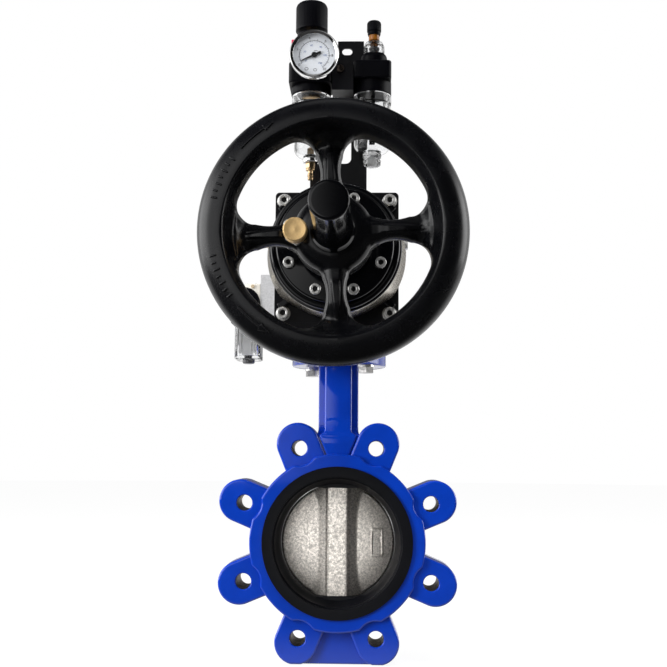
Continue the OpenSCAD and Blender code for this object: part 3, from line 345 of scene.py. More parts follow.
def coated(name, colour, roughness, swell=60.0, peel=900.0, depth=0.0002, share=0.25, lift=0.35,
           **more):
    """Paint, lacquer or moulded plastic: slightly blotchy colour and gloss on an uneven skin."""
    light = tuple(min(1.0, c * (1 + lift)) for c in colour)
    return add_skin(finish(name, colour, roughness, **more), COAT, (roughness, roughness * 1.25),
                    depth, (colour, light), Swell=swell, Peel=peel, Peel_Share=share)


def metal(name, colour, roughness, scale=1400.0, depth=0.00004, dark=0.6, metallic=1.0):
    """Bare or plated metal: fine grains that darken and roughen it."""
    return add_skin(finish(name, colour, roughness, metallic), GRAIN,
                    (roughness * 1.3, roughness), depth, (tuple(c * dark for c in colour), colour),
                    Scale=scale)


def clear(name, colour, roughness=0.02):
    """Clear moulded plastic or glass with faint smears."""
    return add_skin(finish(name, colour, roughness, transmission=1.0), COAT,
                    (roughness, roughness + 0.05), 0.0001, relief=0.6,
                    Swell=220.0, Peel=900.0, Peel_Share=0.1)


FINISH = {
    "blue": coated("blue_epoxy", (0.0009, 0.041, 0.44), 0.40, coat=0.9, swell=110.0, peel=500.0,
                   depth=0.0003, share=0.12, lift=0.12, coat_roughness=0.05, coat_ior=1.7,
                   specular=0.1),
    "iron": metal("drilled_iron", (0.20, 0.165, 0.14), 0.45, scale=600.0, depth=0.0001, dark=0.4),
    "gloss": coated("black_gloss", (0.0014, 0.0015, 0.0021), 0.09, swell=40.0, peel=1100.0,
                    depth=0.00003, share=0.15, lift=0.3),
    "black": coated("black_enamel", (0.0022, 0.0023, 0.0030), 0.24, swell=40.0, peel=1100.0,
                    depth=0.0001, share=0.15, lift=0.3),
    "satin": coated("black_anodised", (0.0020, 0.0020, 0.0028), 0.34, swell=30.0, peel=1500.0,
                    depth=0.00006, share=0.5, lift=0.3, specular=0.3),
    "plastic": coated("black_nylon", (0.0020, 0.0020, 0.0028), 0.36, swell=90.0, peel=1800.0,
                      depth=0.00008, share=0.6, lift=0.4, specular=0.25),
    "rubber": coated("black_rubber", (0.0022, 0.0024, 0.0036), 0.42, swell=25.0, peel=2500.0,
                     depth=0.00005, share=0.8, lift=0.5, specular=0.25),
    "disc": metal("plated_casting", (1.0, 0.94, 0.86), 0.36, scale=1250.0, depth=0.00011,
                  dark=0.5, metallic=0.92),
    "silver": metal("anodised_silver", (0.66, 0.66, 0.67), 0.34, scale=1800.0, depth=0.00002,
                    dark=0.8, metallic=0.7),
    "cast_grey": metal("sawn_aluminium", (0.72, 0.72, 0.73), 0.5, scale=1800.0, depth=0.00015,
                       dark=0.8, metallic=0.35),
    "chrome": metal("bright_zinc", (0.80, 0.79, 0.77), 0.20, scale=2500.0, depth=0.000004,
                    dark=0.85, metallic=0.72),
    "machined": metal("machined_drum", (0.62, 0.57, 0.49), 0.22, scale=2500.0, depth=0.000006,
                      dark=0.85),
    "mirror": metal("polished_chrome", (0.86, 0.86, 0.86), 0.08, scale=1500.0, depth=0.000002,
                    dark=0.93),
    "brass": metal("drawn_brass", (0.66, 0.47, 0.27), 0.24, scale=2500.0, depth=0.000004,
                   dark=0.85),
    "turned_brass_face": metal("turned_brass", (0.92, 0.63, 0.29), 0.30, scale=2500.0,
                               depth=0.000006, dark=0.9, metallic=0.7),
    "moulded": coated("moulded_black", (0.0016, 0.0016, 0.0024), 0.34, swell=70.0, peel=1500.0,
                      depth=0.00005, share=0.4, lift=0.4, specular=0.08),
    "ink_blue": coated("ink_blue", (0.03, 0.09, 0.30), 0.5, depth=0.00001),
    "drip_grey": coated("smoked_plastic", (0.10, 0.10, 0.105), 0.25, depth=0.00004),
    "core_grey": coated("core_plastic", (0.92, 0.92, 0.93), 0.30, depth=0.0001, lift=0.3),
    "steel": metal("ground_steel", (0.58, 0.57, 0.56), 0.3, scale=800.0, depth=0.00003),
    "bronze": metal("bronze_bush", (0.55, 0.36, 0.17), 0.35, scale=800.0, depth=0.00003),
    "white_plastic": coated("acetal", (0.78, 0.77, 0.74), 0.4, lift=0.02),
    "cream": coated("cream_plastic", (0.74, 0.71, 0.64), 0.38, lift=0.03, depth=0.00006),
    "clear": clear("clear_bowl", (0.97, 0.975, 0.98)),
    "glass": coated("gauge_window", (0.02, 0.02, 0.02), 0.03, lift=0.02, depth=0.000002,
                    alpha=0.10),
    "dial": coated("dial_face", (0.84, 0.87, 0.92), 0.5, lift=0.02, depth=0.00002),
    "needle": coated("needle_black", (0.004, 0.004, 0.005), 0.4, depth=0.00002),
    "amber": coated("amber_plastic", (0.13, 0.045, 0.004), 0.12, lift=0.7, depth=0.00003),
    "sand": coated("sand_plastic", (0.50, 0.40, 0.27), 0.4, lift=0.05),
    "red": coated("red_plastic", (0.50, 0.03, 0.07), 0.4, lift=0.05),
}

FINISHED_NODES = {
    "blue": "valve_body bottom_plug",
    "rubber": "seat_liner stem_seal cap_seals",
    "disc": "valve_disc",
    "steel": "upper_stem lower_stem mounting_bolts pinion snap_ring thrust_bearing spindle spool",
    "bronze": "stem_bushes exhaust_silencers",
    "satin": "mounting_spacer front_end_cap rear_end_cap drive_nut support_bracket",
    "chrome": "mounting_washers cap_screws cap_washers stop_screws indicator_screw "
              "cover_screws plunger_nut gauge_case",
    "silver": "actuator_body front_piston rear_piston",
    "white_plastic": "front_piston_rings rear_piston_rings pinion_bushes",
    "plastic": "position_indicator joining_block regulator_body regulator_knob "
               "lubricator_body lubricator_knob solenoid_coil",
    "gloss": "override_housing housing_cover",
    "black": "handwheel spindle_cap",
    "brass": "lock_plunger adjusting_screw drain_valve",
    "iron": "bracket_screws",
    "dial": "gauge_dial",
    "needle": "gauge_needle",
    "glass": "gauge_glass",
    "clear": "filter_bowl sight_dome lubricator_bowl plug_connector",
    "amber": "lubricator_stem",
    "cast_grey": "solenoid_body",
    "sand": "override_button",
}
NODE_FINISH = {node: name for name, members in FINISHED_NODES.items() for node in members.split()}

# width of the rounded edges, in mm, on the nodes that stay as they are
EDGE = {
    "seat_liner": 0.6, "front_end_cap": 0.9, "rear_end_cap": 0.9, "mounting_bolts": 0.4,
    "actuator_body": 0.5, "support_bracket": 0.4, "joining_block": 0.6, "solenoid_body": 0.5,
    "mounting_spacer": 0.5, "plunger_nut": 0.4,
}


def dress_node(name):
    node = nodes[name]
    node.data.materials.clear()
    node.data.materials.append(FINISH[NODE_FINISH[name]])
    if name in EDGE:
        weld = node.modifiers.new("weld", "WELD")
        weld.merge_threshold = 1e-6
        rounding = node.modifiers.new("rounding", "BEVEL")
        rounding.width = EDGE[name] * MM
        rounding.segments = 3
        rounding.limit_method = "ANGLE"
        rounding.angle_limit = math.radians(35)


# ---------------------------------------------------------------- surfaces


def box_mm(node):
    """Lowest and highest corners of a CAD node, in millimetres."""
    low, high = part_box(node)
    return np.array(low) / MM, np.array(high) / MM


def middle_mm(node):
    """Middle of a CAD node seen from the front, at depth 0."""
    low, high = box_mm(node)
    return np.array([(low[0] + high[0]) / 2, 0, (low[2] + high[2]) / 2])


def smooth(x, low, high):
    """0 below low, 1 above high, and a cubic ease between."""
    t = np.clip((x - low) / (high - low), 0, 1)
    return t * t * (3 - 2 * t)


def smooth_max(a, b, blend):
    """The larger of two heights, with their meeting rounded over the height blend."""
    return np.maximum(a, b) + blend / 4 * np.maximum(1 - np.abs(a - b) / blend, 0) ** 2


def grid_faces(rows, columns, close_rows=False, close_columns=False):
    """Quads over a grid of rows x columns points, numbered row by row."""
    i = np.arange(rows if close_rows else rows - 1)
    j = np.arange(columns if close_columns else columns - 1)
    i, j = (a.ravel() for a in np.meshgrid(i, j, indexing="ij"))
    up, on = (i + 1) % rows, (j + 1) % columns
    return np.column_stack([
        i * columns + j, i * columns + on, up * columns + on, up * columns + j])


def add_piece(name, points, faces, finish_name, node, covers=False, sharp=40):
    """A mesh piece from points in mm and faces: doubles merged, normals outward, smooth. It
    rides with the CAD node's body and replaces the node where it covers it."""
    mesh = bpy.data.meshes.new(name)
    mesh.from_pydata((np.asarray(points) * MM).tolist(), [], np.asarray(faces).tolist())
    work = bmesh.new()
    work.from_mesh(mesh)
    bmesh.ops.remove_doubles(work, verts=work.verts, dist=2e-6)
    bmesh.ops.dissolve_degenerate(work, dist=1e-7, edges=work.edges)
    bmesh.ops.recalc_face_normals(work, faces=work.faces)
    work.to_mesh(mesh)
    work.free()
    mesh.polygons.foreach_set("use_smooth", np.ones(len(mesh.polygons), bool))
    mesh.set_sharp_from_angle(angle=math.radians(sharp))
    mesh.materials.append(FINISH[finish_name])
    piece = bpy.data.objects.new(name, mesh)
    bpy.context.scene.collection.objects.link(piece)
    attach(piece, body_of[node])
    if covers:
        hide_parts(node)
    return piece


def join_grids(grids):
    """Several (points, faces) pairs as one."""
    points, faces, count = [], [], 0
    for p, f in grids:
        points.append(p)
        faces.append(np.asarray(f) + count)
        count += len(p)
    return np.vstack(points), np.vstack(faces)


def add_grids(name, grids, *rest, **more):
    """One piece from several (points, faces) pairs."""
    return add_piece(name, *join_grids(grids), *rest, **more)


def corner_arc(before, corner, after, reach, t):
    """A parabola's arc in place of a corner, starting and ending reach away from it."""
    back, ahead = before - corner, after - corner
    start = corner + back * min(0.5, reach / np.linalg.norm(back))
    end = corner + ahead * min(0.5, reach / np.linalg.norm(ahead))
    return (1 - t) ** 2 * start + 2 * t * (1 - t) * corner + t ** 2 * end


def soften(corners, radius, steps=5):
    """A closed polygon with each corner turned into an arc."""
    loop = np.vstack([corners[-1], corners, corners[:1]])
    t = np.linspace(0, 1, steps + 1)[:, None]
    return np.vstack([corner_arc(*three, radius, t)
                      for three in zip(loop[:-2], loop[1:-1], loop[2:])])


def rounded(profile, base=0, steps=4):
    """A polyline of (r, z above base, radius) corners, each turned into an arc."""
    p = np.array([c[:2] for c in profile], float) + (0, base)
    size = np.array([c[2] if len(c) > 2 else 0.0 for c in profile])
    out = [p[:1]]
    t = np.linspace(0, 1, steps + 1)[:, None]
    for before, corner, after, reach in zip(p[:-2], p[1:-1], p[2:], size[1:-1]):
        out.append(corner_arc(before, corner, after, reach, t) if reach > 0 else corner[None])
    out.append(p[-1:])
    return np.vstack(out)


AXES = {
    "up": np.array([[1, 0, 0], [0, 1, 0], [0, 0, 1]], float),
    "forward": np.array([[1, 0, 0], [0, 0, 1], [0, -1, 0]], float),
}


def turned(profile, centre, axis="up", segments=96, ribs=None):
    """A lathe shape: each profile point (r, z) turned about the axis through centre.
    ribs = (count, depth, start, end) lowers the radius by a rounded wave between two heights."""
    profile = np.asarray(profile, float)
    angle = np.arange(segments) * TURN / segments
    r = np.repeat(profile[:, :1], segments, 1)
    z = np.repeat(profile[:, 1:2], segments, 1)
    if ribs:
        count, depth, start, end = ribs
        wave = np.abs(np.sin(angle * count / 2))[None] ** 0.7
        inside = smooth(z, start, start + 0.6) * (1 - smooth(z, end - 0.6, end))
        r = r - depth * inside * (1 - wave)
    local = np.stack([r * np.cos(angle), r * np.sin(angle), z], -1).reshape(-1, 3)
    points = local @ AXES[axis] + np.asarray(centre, float)
    return points, grid_faces(len(profile), segments, close_columns=True)


def side_normals(loop):
    """Unit normals of a closed loop, on the right of its direction."""
    ahead = np.roll(loop, -1, 0) - np.roll(loop, 1, 0)
    normal = np.column_stack([ahead[:, 1], -ahead[:, 0]])
    return normal / np.linalg.norm(normal, axis=1, keepdims=True)


def quarter_turns(edge, steps=5):
    """(draw-in, drop) pairs of a quarter circle from the flat face to the side wall."""
    a = np.linspace(0, np.pi / 2, steps)
    return edge * (1 - np.sin(a)), edge * (1 - np.cos(a))


def flat_rows(rows):
    """Points of (loop, height) rows."""
    return np.vstack([np.column_stack([xy, np.full(len(xy), z)]) for xy, z in rows])


def prism(outline, low, high, edge, axis="up", centre=(0, 0, 0)):
    """A slab with rounded edges: the outline (a closed loop around its middle) is drawn in
    along its normals by the quarter circle of each edge, and each end is filled by shrinking
    the loop to the middle."""
    loop = np.asarray(outline, float)
    area = np.sum(loop[:, 0] * np.roll(loop[:, 1], -1) - loop[:, 1] * np.roll(loop[:, 0], -1))
    normal = side_normals(loop) * np.sign(area)
    draw, drop = quarter_turns(edge)
    rows = [(loop - normal * d, low + h) for d, h in zip(draw, drop)]
    rows += [(loop - normal * d, high - h) for d, h in zip(draw[::-1], drop[::-1])]
    middle = loop.mean(0)
    first, last = rows[0][0], rows[-1][0]
    share = np.linspace(0, 1, 9)[:-1]
    ends_low = [(middle + (first - middle) * s, low) for s in share]
    ends_high = [(middle + (last - middle) * s, high) for s in share[::-1]]
    rows = ends_low + rows + ends_high
    return flat_rows(rows) @ AXES[axis] + np.asarray(centre, float), grid_faces(
        len(rows), len(loop), close_columns=True)


def box_outline(width, height, corner, steps=6):
    """A rectangle about its middle with circular corners, going round anticlockwise."""
    a = np.linspace(0, np.pi / 2, steps)
    arcs = []
    for k, (sx, sy) in enumerate(((1, 1), (-1, 1), (-1, -1), (1, -1))):
        turn = a + k * np.pi / 2
        arcs.append(np.column_stack([
            sx * (width / 2 - corner) + corner * np.cos(turn),
            sy * (height / 2 - corner) + corner * np.sin(turn)]))
    return np.vstack(arcs)


def even(loop, spacing):
    """A closed loop with extra points, so that none of its sides is longer than spacing."""
    out = []
    for start, end in zip(loop, np.roll(loop, -1, 0)):
        count = max(1, int(np.ceil(np.linalg.norm(end - start) / spacing)))
        out.append(start + (end - start) * (np.arange(count) / count)[:, None])
    return np.vstack(out)


def rotated(points, turn):
    """Points in a plane, turned about its origin."""
    x, y = points[..., 0], points[..., 1]
    return np.stack([x * math.cos(turn) - y * math.sin(turn),
                     x * math.sin(turn) + y * math.cos(turn)], -1)


def circle(radius, count):
    """A circle of count points, going round anticlockwise."""
    angle = np.arange(count) * TURN / count
    return np.column_stack([radius * np.cos(angle), radius * np.sin(angle)])


# ---------------------------------------------------------------- handwheel

WHEEL_PHASE = math.radians(3)
LEDGE_R = 76.2
RIM_FILLET = 14.5
HUB_FILLET = 8.0
HUB_R = 30.0
SPOKE_W = 19.5
WEB_FRONT = 211.0
WEB_BACK = 200.0
RIM_MID = 216.0
HUB_FACE = 214.0
HUB_EDGE = 199.0
CREST_R = 82.0
BEAD_FRONT = 15.0
BELLY_W = 10.5
OPENING_MIDDLE = 38.9


def arc(middle, radius, start, end, count):
    """Points of a circle's arc from one angle to another."""
    angle = np.linspace(start, end, count)
    return np.column_stack([middle[0] + radius * np.cos(angle),
                            middle[1] + radius * np.sin(angle)])


def opening_outline():
    """The edge of one opening between two spokes: a hub arc and a ledge arc joined by fillets."""
    rim_centre = LEDGE_R - RIM_FILLET
    hub_centre = HUB_R + HUB_FILLET
    b = math.asin((SPOKE_W / 2 + RIM_FILLET) / rim_centre)
    h = math.asin((SPOKE_W / 2 + HUB_FILLET) / hub_centre)
    quarter = math.pi / 2

    def at(radius, angle):
        return radius * math.cos(angle), radius * math.sin(angle)

    return np.vstack([
        arc(at(hub_centre, h), HUB_FILLET, math.pi + h, 3 * quarter, 24)[:-1],
        arc(at(rim_centre, b), RIM_FILLET, -quarter, b, 40)[:-1],
        arc((0, 0), LEDGE_R, b, quarter - b, 40)[:-1],
        arc(at(rim_centre, quarter - b), RIM_FILLET, quarter - b, math.pi, 40)[:-1],
        arc(at(hub_centre, quarter - h), HUB_FILLET, math.pi, 3 * quarter - h, 24)[:-1],
        arc((0, 0), HUB_R, quarter - h, h, 24)[:-1],
    ])


def wheel_front(x, z, rim_r):
    """Distance of the wheel's front face from the valve's axis, from the radius and from the
    distance to the nearest spoke's middle line: a domed hub, spokes that round off sideways
    and carry a low rib, a ledge, and a fat bead whose crest lies towards the inside."""
    r = np.hypot(x, z)
    d = np.minimum(np.abs(x), np.abs(z))
    crest = RIM_MID + 12
    between = 1 - smooth(r, 60, 75)
    web = WEB_FRONT - 4.2 * smooth(d, 2.5, 11.5) * between
    dish = 2.6 * smooth(r, 52, 66) * (1 - smooth(r, 68, 76))
    rib_w = 2.9 - 1.3 * smooth(r, 40, 68)
    rib = 1.5 * (1 - smooth(d, rib_w - 1.1, rib_w + 1.1)) * smooth(r, 33, 41)
    ledge = 4.0 * smooth(r, 64, 73) - 1.0 * smooth(r, 71, 75)
    web = web - dish + ledge + rib * (1 - smooth(r, 58, 70))
    inner = (crest - WEB_FRONT - 3.0) * smooth(r, 72.6, CREST_R - 1)
    out = np.clip((r - CREST_R) / (rim_r - CREST_R), 0, 1)
    outer = crest - BEAD_FRONT * (1 - (1 - out ** 2.2) ** (1 / 2.2))
    face = np.where(r > CREST_R, outer, web + inner)
    bulge = np.sqrt(np.clip(1 - ((r - 17) / 13.2).clip(0) ** 2, 0, 1))
    dome = np.where(r < HUB_R, HUB_EDGE + (HUB_FACE - HUB_EDGE) * bulge,
                    HUB_EDGE - 2 * (r - HUB_R))
    return smooth_max(face, dome, 4.0)


def wheel_back(x, z, rim_r, hub_back):
    """Distance of the wheel's back face: flat hub, web, and the belly of the bead."""
    r = np.hypot(x, z)
    web = hub_back + (WEB_BACK - hub_back) * smooth(r, HUB_R - 0.5, HUB_R + 7)
    belly_r = rim_r - BELLY_W
    belly = np.clip((r - belly_r) / BELLY_W, 0, 1)
    rim = RIM_MID + 9 - BEAD_FRONT * 0.8 - 5 * np.sqrt(1 - belly ** 2)
    return np.where(r > belly_r, rim, web + 8 * smooth(r, 77, belly_r) * (r > HUB_R))


def make_handwheel():
    low, high = box_mm("handwheel")
    rim_r = (high[0] - low[0]) / 2
    centre_z = middle_mm("handwheel")[2]
    hub_back = -high[1]
    bore_r = 14.0
    edge_front, edge_back = 3.4, 1.6
    middle = np.full(2, OPENING_MIDDLE)

    line = np.linspace(0, 1, 71)[:-1] * (rim_r - bore_r) + bore_r
    rim = np.linspace(0, np.pi / 2, 97)[:-1]
    bore = np.linspace(np.pi / 2, 0, 13)[:-1]
    edge = np.vstack([
        np.column_stack([line, 0 * line]),
        np.column_stack([rim_r * np.cos(rim), rim_r * np.sin(rim)]),
        np.column_stack([0 * line, (rim_r + bore_r) - line]),
        np.column_stack([bore_r * np.cos(bore), bore_r * np.sin(bore)]),
    ])
    hole = opening_outline() - middle
    angle = np.arctan2(hole[:, 1], hole[:, 0])
    order = np.argsort(angle)
    away = edge - middle
    toward = np.arctan2(away[:, 1], away[:, 0])
    reach = np.interp(toward, angle[order], np.hypot(*hole[order].T), period=TURN)
    rim_of_hole = middle + away / np.hypot(*away.T)[:, None] * reach[:, None]

    def face(count, height, radius, outward):
        """Points from the hole's edge out, and their heights, rounded off at that edge."""
        even_share = np.linspace(0, 1, count)
        share = 0.45 * even_share + 0.55 * (1 - np.cos(np.pi * even_share)) / 2
        flat = rim_of_hole[None] + (edge - rim_of_hole)[None] * share[:, None, None]
        gap = np.linalg.norm(flat - rim_of_hole[None], axis=-1)
        left = np.clip(radius - gap, 0, radius)
        roll = radius - np.sqrt(radius ** 2 - left ** 2)
        return flat, height(flat[..., 0], flat[..., 1]) - outward * roll

    flat, front = face(60, lambda x, z: wheel_front(x, z, rim_r), edge_front, 1)
    flat_back, back = face(18, lambda x, z: wheel_back(x, z, rim_r, hub_back), edge_back, -1)
    wall = np.linspace(0, 1, 5)[1:-1, None]
    rows_xy = np.concatenate([flat[::-1], np.repeat(rim_of_hole[None], 3, 0), flat_back])
    rows_q = np.concatenate([front[::-1], front[:1] * (1 - wall) + back[:1] * wall, back])
    rows, columns = rows_q.shape
    faces = grid_faces(rows, columns, close_columns=True)
    # wall of the bore, from the last row of the front to the last row of the back
    j = np.arange(columns - len(bore), columns)
    on = (j + 1) % columns
    last = (rows - 1) * columns
    faces = np.vstack([faces, np.column_stack([j, last + j, last + on, on])])

    grids = []
    for quarter in range(4):
        turn = WHEEL_PHASE + quarter * math.pi / 2
        xz = rotated(rows_xy, turn)
        points = np.stack([xz[..., 0], -rows_q, xz[..., 1] + centre_z], -1).reshape(-1, 3)
        grids.append((points, faces))
    add_grids("handwheel_casting", grids, "black", "handwheel", covers=True, sharp=70)
    make_wheel_arrows(rim_r, centre_z)


def make_wheel_arrows(rim_r, centre_z):
    """Raised marks on the rim: short bars across it, then an arrow. Each is a band along the
    rim's middle line that leans by a slant, with its own half width and a rounded top."""
    marks = []
    for start, step, end in ((166, -6.2, 119), (194, 6.2, 240)):
        for k in range(7):
            at = start + step * 0.55 * k
            marks.append((at, at, 86.0 + (k % 2) * 1.6, 91.6, 0.8))
        marks.append((start + 4.3 * step, end, 88.8, 88.8, 0.0))
    grids = []
    for start, end, r_start, r_end, width in marks:
        u = np.linspace(0, 1, 20 if width else 64)
        if width:
            half = width * smooth(u, -0.02, 0.1) * smooth(-u, -1.02, -0.9)
        else:
            half = np.where(u < 0.72, 1.1, 3.6 * (1 - (u - 0.72) / 0.28)) * smooth(u, -0.004, 0.012)
        half = np.maximum(half, 0.02)
        v = np.linspace(-1, 1, 11)
        angle = np.radians(start + (end - start) * u)
        along = np.column_stack([(r_start + (r_end - r_start) * u) * np.cos(angle),
                                 (r_start + (r_end - r_start) * u) * np.sin(angle)])
        ahead = np.gradient(along, axis=0)
        ahead /= np.linalg.norm(ahead, axis=1, keepdims=True)
        across = np.column_stack([ahead[:, 1], -ahead[:, 0]])
        if np.dot(across[0], along[0]) < 0:
            across = -across
        spot = along[:, None] + across[:, None] * (half[:, None] * v[None])[..., None]
        flat = wheel_front(np.hypot(spot[..., 0], spot[..., 1]), 0 * spot[..., 0], rim_r)
        height = 1.1 * np.minimum(1, half / 0.7)[:, None] * np.sqrt(1 - np.abs(v[None]) ** 3)
        upper = np.stack([spot[..., 0], -(flat + height), spot[..., 1] + centre_z], -1)
        lower = np.stack([spot[..., 0], 0.8 - flat, spot[..., 1] + centre_z], -1)[:, ::-1]
        ring = np.concatenate([upper, lower], 1)
        rows, columns = ring.shape[:2]
        faces = [grid_faces(rows, columns, close_columns=True)]
        for i in (0, rows - 1):
            faces.append([[i * columns + k, i * columns + k + 1,
                           i * columns + 20 - k, i * columns + 21 - k] for k in range(10)])
        grids.append((ring.reshape(-1, 3), np.vstack(faces)))
    add_grids("rim_marks", grids, "black", "handwheel", sharp=50)


# ---------------------------------------------------------------- valve body

LUG_COUNT = 8
BOLT_CIRCLE_R = 90.0
HOLE_R = 7.0
LUG_R = 19.1
LUG_OVER = 4.1
LUG_HALF = 22.0
RING_R = 78.3
RING_HALF = 25.0
SEAT_BORE_R = 60.0
SCALLOP_R = 15.5
CAST_EDGE = 1.9


def drawn_in(loop, distance):
    """A closed loop moved inwards along its normals."""
    return loop - side_normals(loop) * distance


def casting_grid(loops, heights, outline, edge, half):
    """Loops in the plane of the flange, each at its own distance forward, then the rounded edge
    of the outline, then all of it again for the back, as one closed grid."""
    for d, h in zip(*quarter_turns(edge)):
        loops.append(drawn_in(outline, d))
        heights.append(half - h)
    loops += loops[::-1]
    heights += [-h for h in heights[::-1]]
    points = flat_rows(zip(loops, heights)) @ AXES["forward"]
    return points, grid_faces(len(loops), len(loops[0]), close_rows=True, close_columns=True)


def lug_grid(axis_angle, foot_z):
    """One lug: for each direction from its hole, the outline is where the ray leaves the lug's
    circle, its parallel flanks or the foot's flat; the section turns round the hole and edge."""
    psi = np.arange(144) * TURN / 144
    around = psi - axis_angle
    across, along = -np.sin(around), np.cos(around)
    circle_reach = LUG_OVER * along + np.sqrt(LUG_R ** 2 - (LUG_OVER * across) ** 2)
    flank_reach = LUG_R / np.maximum(np.abs(across), 1e-6)
    base_reach = np.where(along < 0, 24 / np.maximum(-along, 1e-6), 1e6)
    reach = np.where(circle_reach * along >= LUG_OVER, circle_reach,
                     np.minimum(flank_reach, base_reach))
    hole = BOLT_CIRCLE_R * np.array([math.cos(axis_angle), math.sin(axis_angle)])
    down = -np.sin(psi)
    plane_reach = np.where(down > 0, (hole[1] - foot_z) / np.maximum(down, 1e-6), 1e6)
    reach = np.minimum(reach, plane_reach)
    way = np.column_stack([np.cos(psi), np.sin(psi)])
    outline = hole + way * reach[:, None]
    inner = hole + way * HOLE_R
    chamfer = hole + way * (HOLE_R + 0.7)
    loops = [inner, chamfer]
    heights = [LUG_HALF - 0.7, LUG_HALF]
    face_edge = drawn_in(outline, CAST_EDGE)
    for share in (0.015, 0.5, 0.985):
        loops.append(chamfer + (face_edge - chamfer) * share)
        heights.append(LUG_HALF)
    return casting_grid(loops, heights, outline, CAST_EDGE, LUG_HALF)


def ring_grid():
    """The ring between the lugs: its outer radius is cut back round each hole by a scallop."""
    angle = np.arange(1080) * TURN / 1080
    pitch = TURN / LUG_COUNT
    off = (angle % pitch) - pitch / 2
    side = BOLT_CIRCLE_R * np.sin(off)
    inside = np.clip(SCALLOP_R ** 2 - side ** 2, 0, None)
    scallop = np.where(inside > 0, BOLT_CIRCLE_R * np.cos(off) - np.sqrt(inside), 1e3)
    outer = -smooth_max(-scallop.clip(0, 90), -np.full(len(angle), RING_R), 1.6)
    way = np.column_stack([np.cos(angle), np.sin(angle)])
    outline = way * outer[:, None]
    loops = [way * SEAT_BORE_R, way * (SEAT_BORE_R + 8), drawn_in(outline, 1.85)]
    return casting_grid(loops, [RING_HALF] * 3, outline, 1.7, RING_HALF)


def loft(rows, corner):
    """Rounded rectangles (z, half width, half depth) stacked upwards, with both ends filled."""
    loops = []
    for z, half_w, half_d in rows:
        loop = box_outline(2 * half_w, 2 * half_d, corner)
        loops.append(np.column_stack([loop, np.full(len(loop), z)]))
    first, last = loops[0] * (0, 0, 1), loops[-1] * (0, 0, 1)
    loops = [first] + loops + [last]
    return np.vstack(loops), grid_faces(len(loops), len(loops[0]), close_columns=True)


def neck_grids(top):
    """The neck: side webs that spread at the ring, and a rib that widens into a keystone
    between the two upper lugs and grows thicker there."""
    z = np.concatenate([np.linspace(70, 100, 31), np.linspace(102, top, 24)])
    web = 18 + 10 * (1 - smooth(z, 76, 101))
    web_t = 11.0 + 8.4 * (1 - smooth(z, 93, 103))
    keystone = np.where(z < 94.5, 10.4 + (z - 78) * 0.40, 17.0)
    rib = keystone + (12.2 - keystone) * smooth(z, 94.0, 98.5)
    rib_t = 17 + 4.7 * (1 - smooth(z, 88, 112))
    return [loft(np.column_stack([z, web, web_t]), 1.2),
            loft(np.column_stack([z, rib, rib_t]), 1.7)]


def make_valve_body():
    low, high = box_mm("valve_body")
    foot_z, top = low[2], high[2]
    grids = [ring_grid()]
    for i in range(LUG_COUNT):
        grids.append(lug_grid((i + 0.5) * TURN / LUG_COUNT, foot_z))
    foot = np.array([[-38, foot_z], [38, foot_z], [38, foot_z + 10], [24, foot_z + 13],
                     [19, foot_z + 40], [-19, foot_z + 40], [-24, foot_z + 13],
                     [-38, foot_z + 10]], float)
    foot = even(soften(foot, 3.0), 3)
    grids.append(prism(foot, -18.4, 18.4, 1.5, "forward"))
    grids += neck_grids(159)
    grids.append(prism(circle(43, 128), 157.8, top, 1.4))
    add_grids("valve_casting", grids, "blue", "valve_body", covers=True, sharp=50)
    make_bore_walls()


def make_bore_walls():
    """A thin sleeve in each bolt hole: the drilled iron that the paint leaves bare."""
    section = [(HOLE_R - 0.06, -21), (HOLE_R - 0.06, 21), (HOLE_R + 0.3, 21), (HOLE_R + 0.3, -21)]
    grids = []
    for i in range(LUG_COUNT):
        angle = (i + 0.5) * TURN / LUG_COUNT
        place = (BOLT_CIRCLE_R * math.cos(angle), 0, BOLT_CIRCLE_R * math.sin(angle))
        points, _ = turned(section, place, "forward", 64)
        grids.append((points, grid_faces(4, 64, close_rows=True, close_columns=True)))
    add_grids("drilled_holes", grids, "iron", "valve_body")


def make_disc():
    """Rows across the disc, each a closed loop round its section: a rounded rim, a plate that
    is 2.4 + 3 (1 - (r / 48.7)^4) thick to each side, sloping flanks, and the shaft's barrel."""
    high = box_mm("valve_disc")[1]
    disc_r, flat = high[0], high[2]
    u = np.sin(np.linspace(-1, 1, 181) * np.pi / 2) * 0.9999
    v = np.sin(np.linspace(-1, 1, 121) * np.pi / 2)
    x = disc_r * u
    reach = np.minimum(np.sqrt(disc_r ** 2 - x ** 2), flat)
    z = reach[:, None] * v[None]
    x = np.broadcast_to(x[:, None], z.shape)
    r = np.hypot(x, z)
    plate = 2.4 + 3 * (1 - np.clip(r / 48.7, 0, 1) ** 4)
    plate = plate - 2.2 * np.clip((r - 48.7) / 2.5, 0, 1) ** 2
    flank = 9.2 - 0.55 * (np.abs(x) - 9.4)
    plate = smooth_max(plate, np.minimum(flank, 9.2), 0.8)
    barrel = 10.9 * np.clip(1 - (x / 10.1) ** 10, 0, None) ** 0.1
    half = smooth_max(plate, barrel, 0.5)
    frame = smooth_max(np.abs(x - 35.5) / 4.6, np.abs(z + 1) / 11.5, 0.02)
    step = 0.55 * (1 - smooth(np.abs(frame - 1.0), 0.04, 0.13))
    front = np.stack([x, -(half + step), z], -1)
    back = np.stack([x, half, z], -1)[:, ::-1]
    rows, columns = front.shape[0], front.shape[1] * 2
    faces = [grid_faces(rows, columns, close_columns=True)]
    for i in (0, rows - 1):
        faces.append([[i * columns + k, i * columns + k + 1, (i + 1) * columns - 2 - k,
                       (i + 1) * columns - 1 - k] for k in range(columns // 2 - 1)])
    points = np.concatenate([front, back], 1).reshape(-1, 3)
    add_piece("disc_casting", points, np.vstack(faces), "disc", "valve_disc", covers=True, sharp=60)


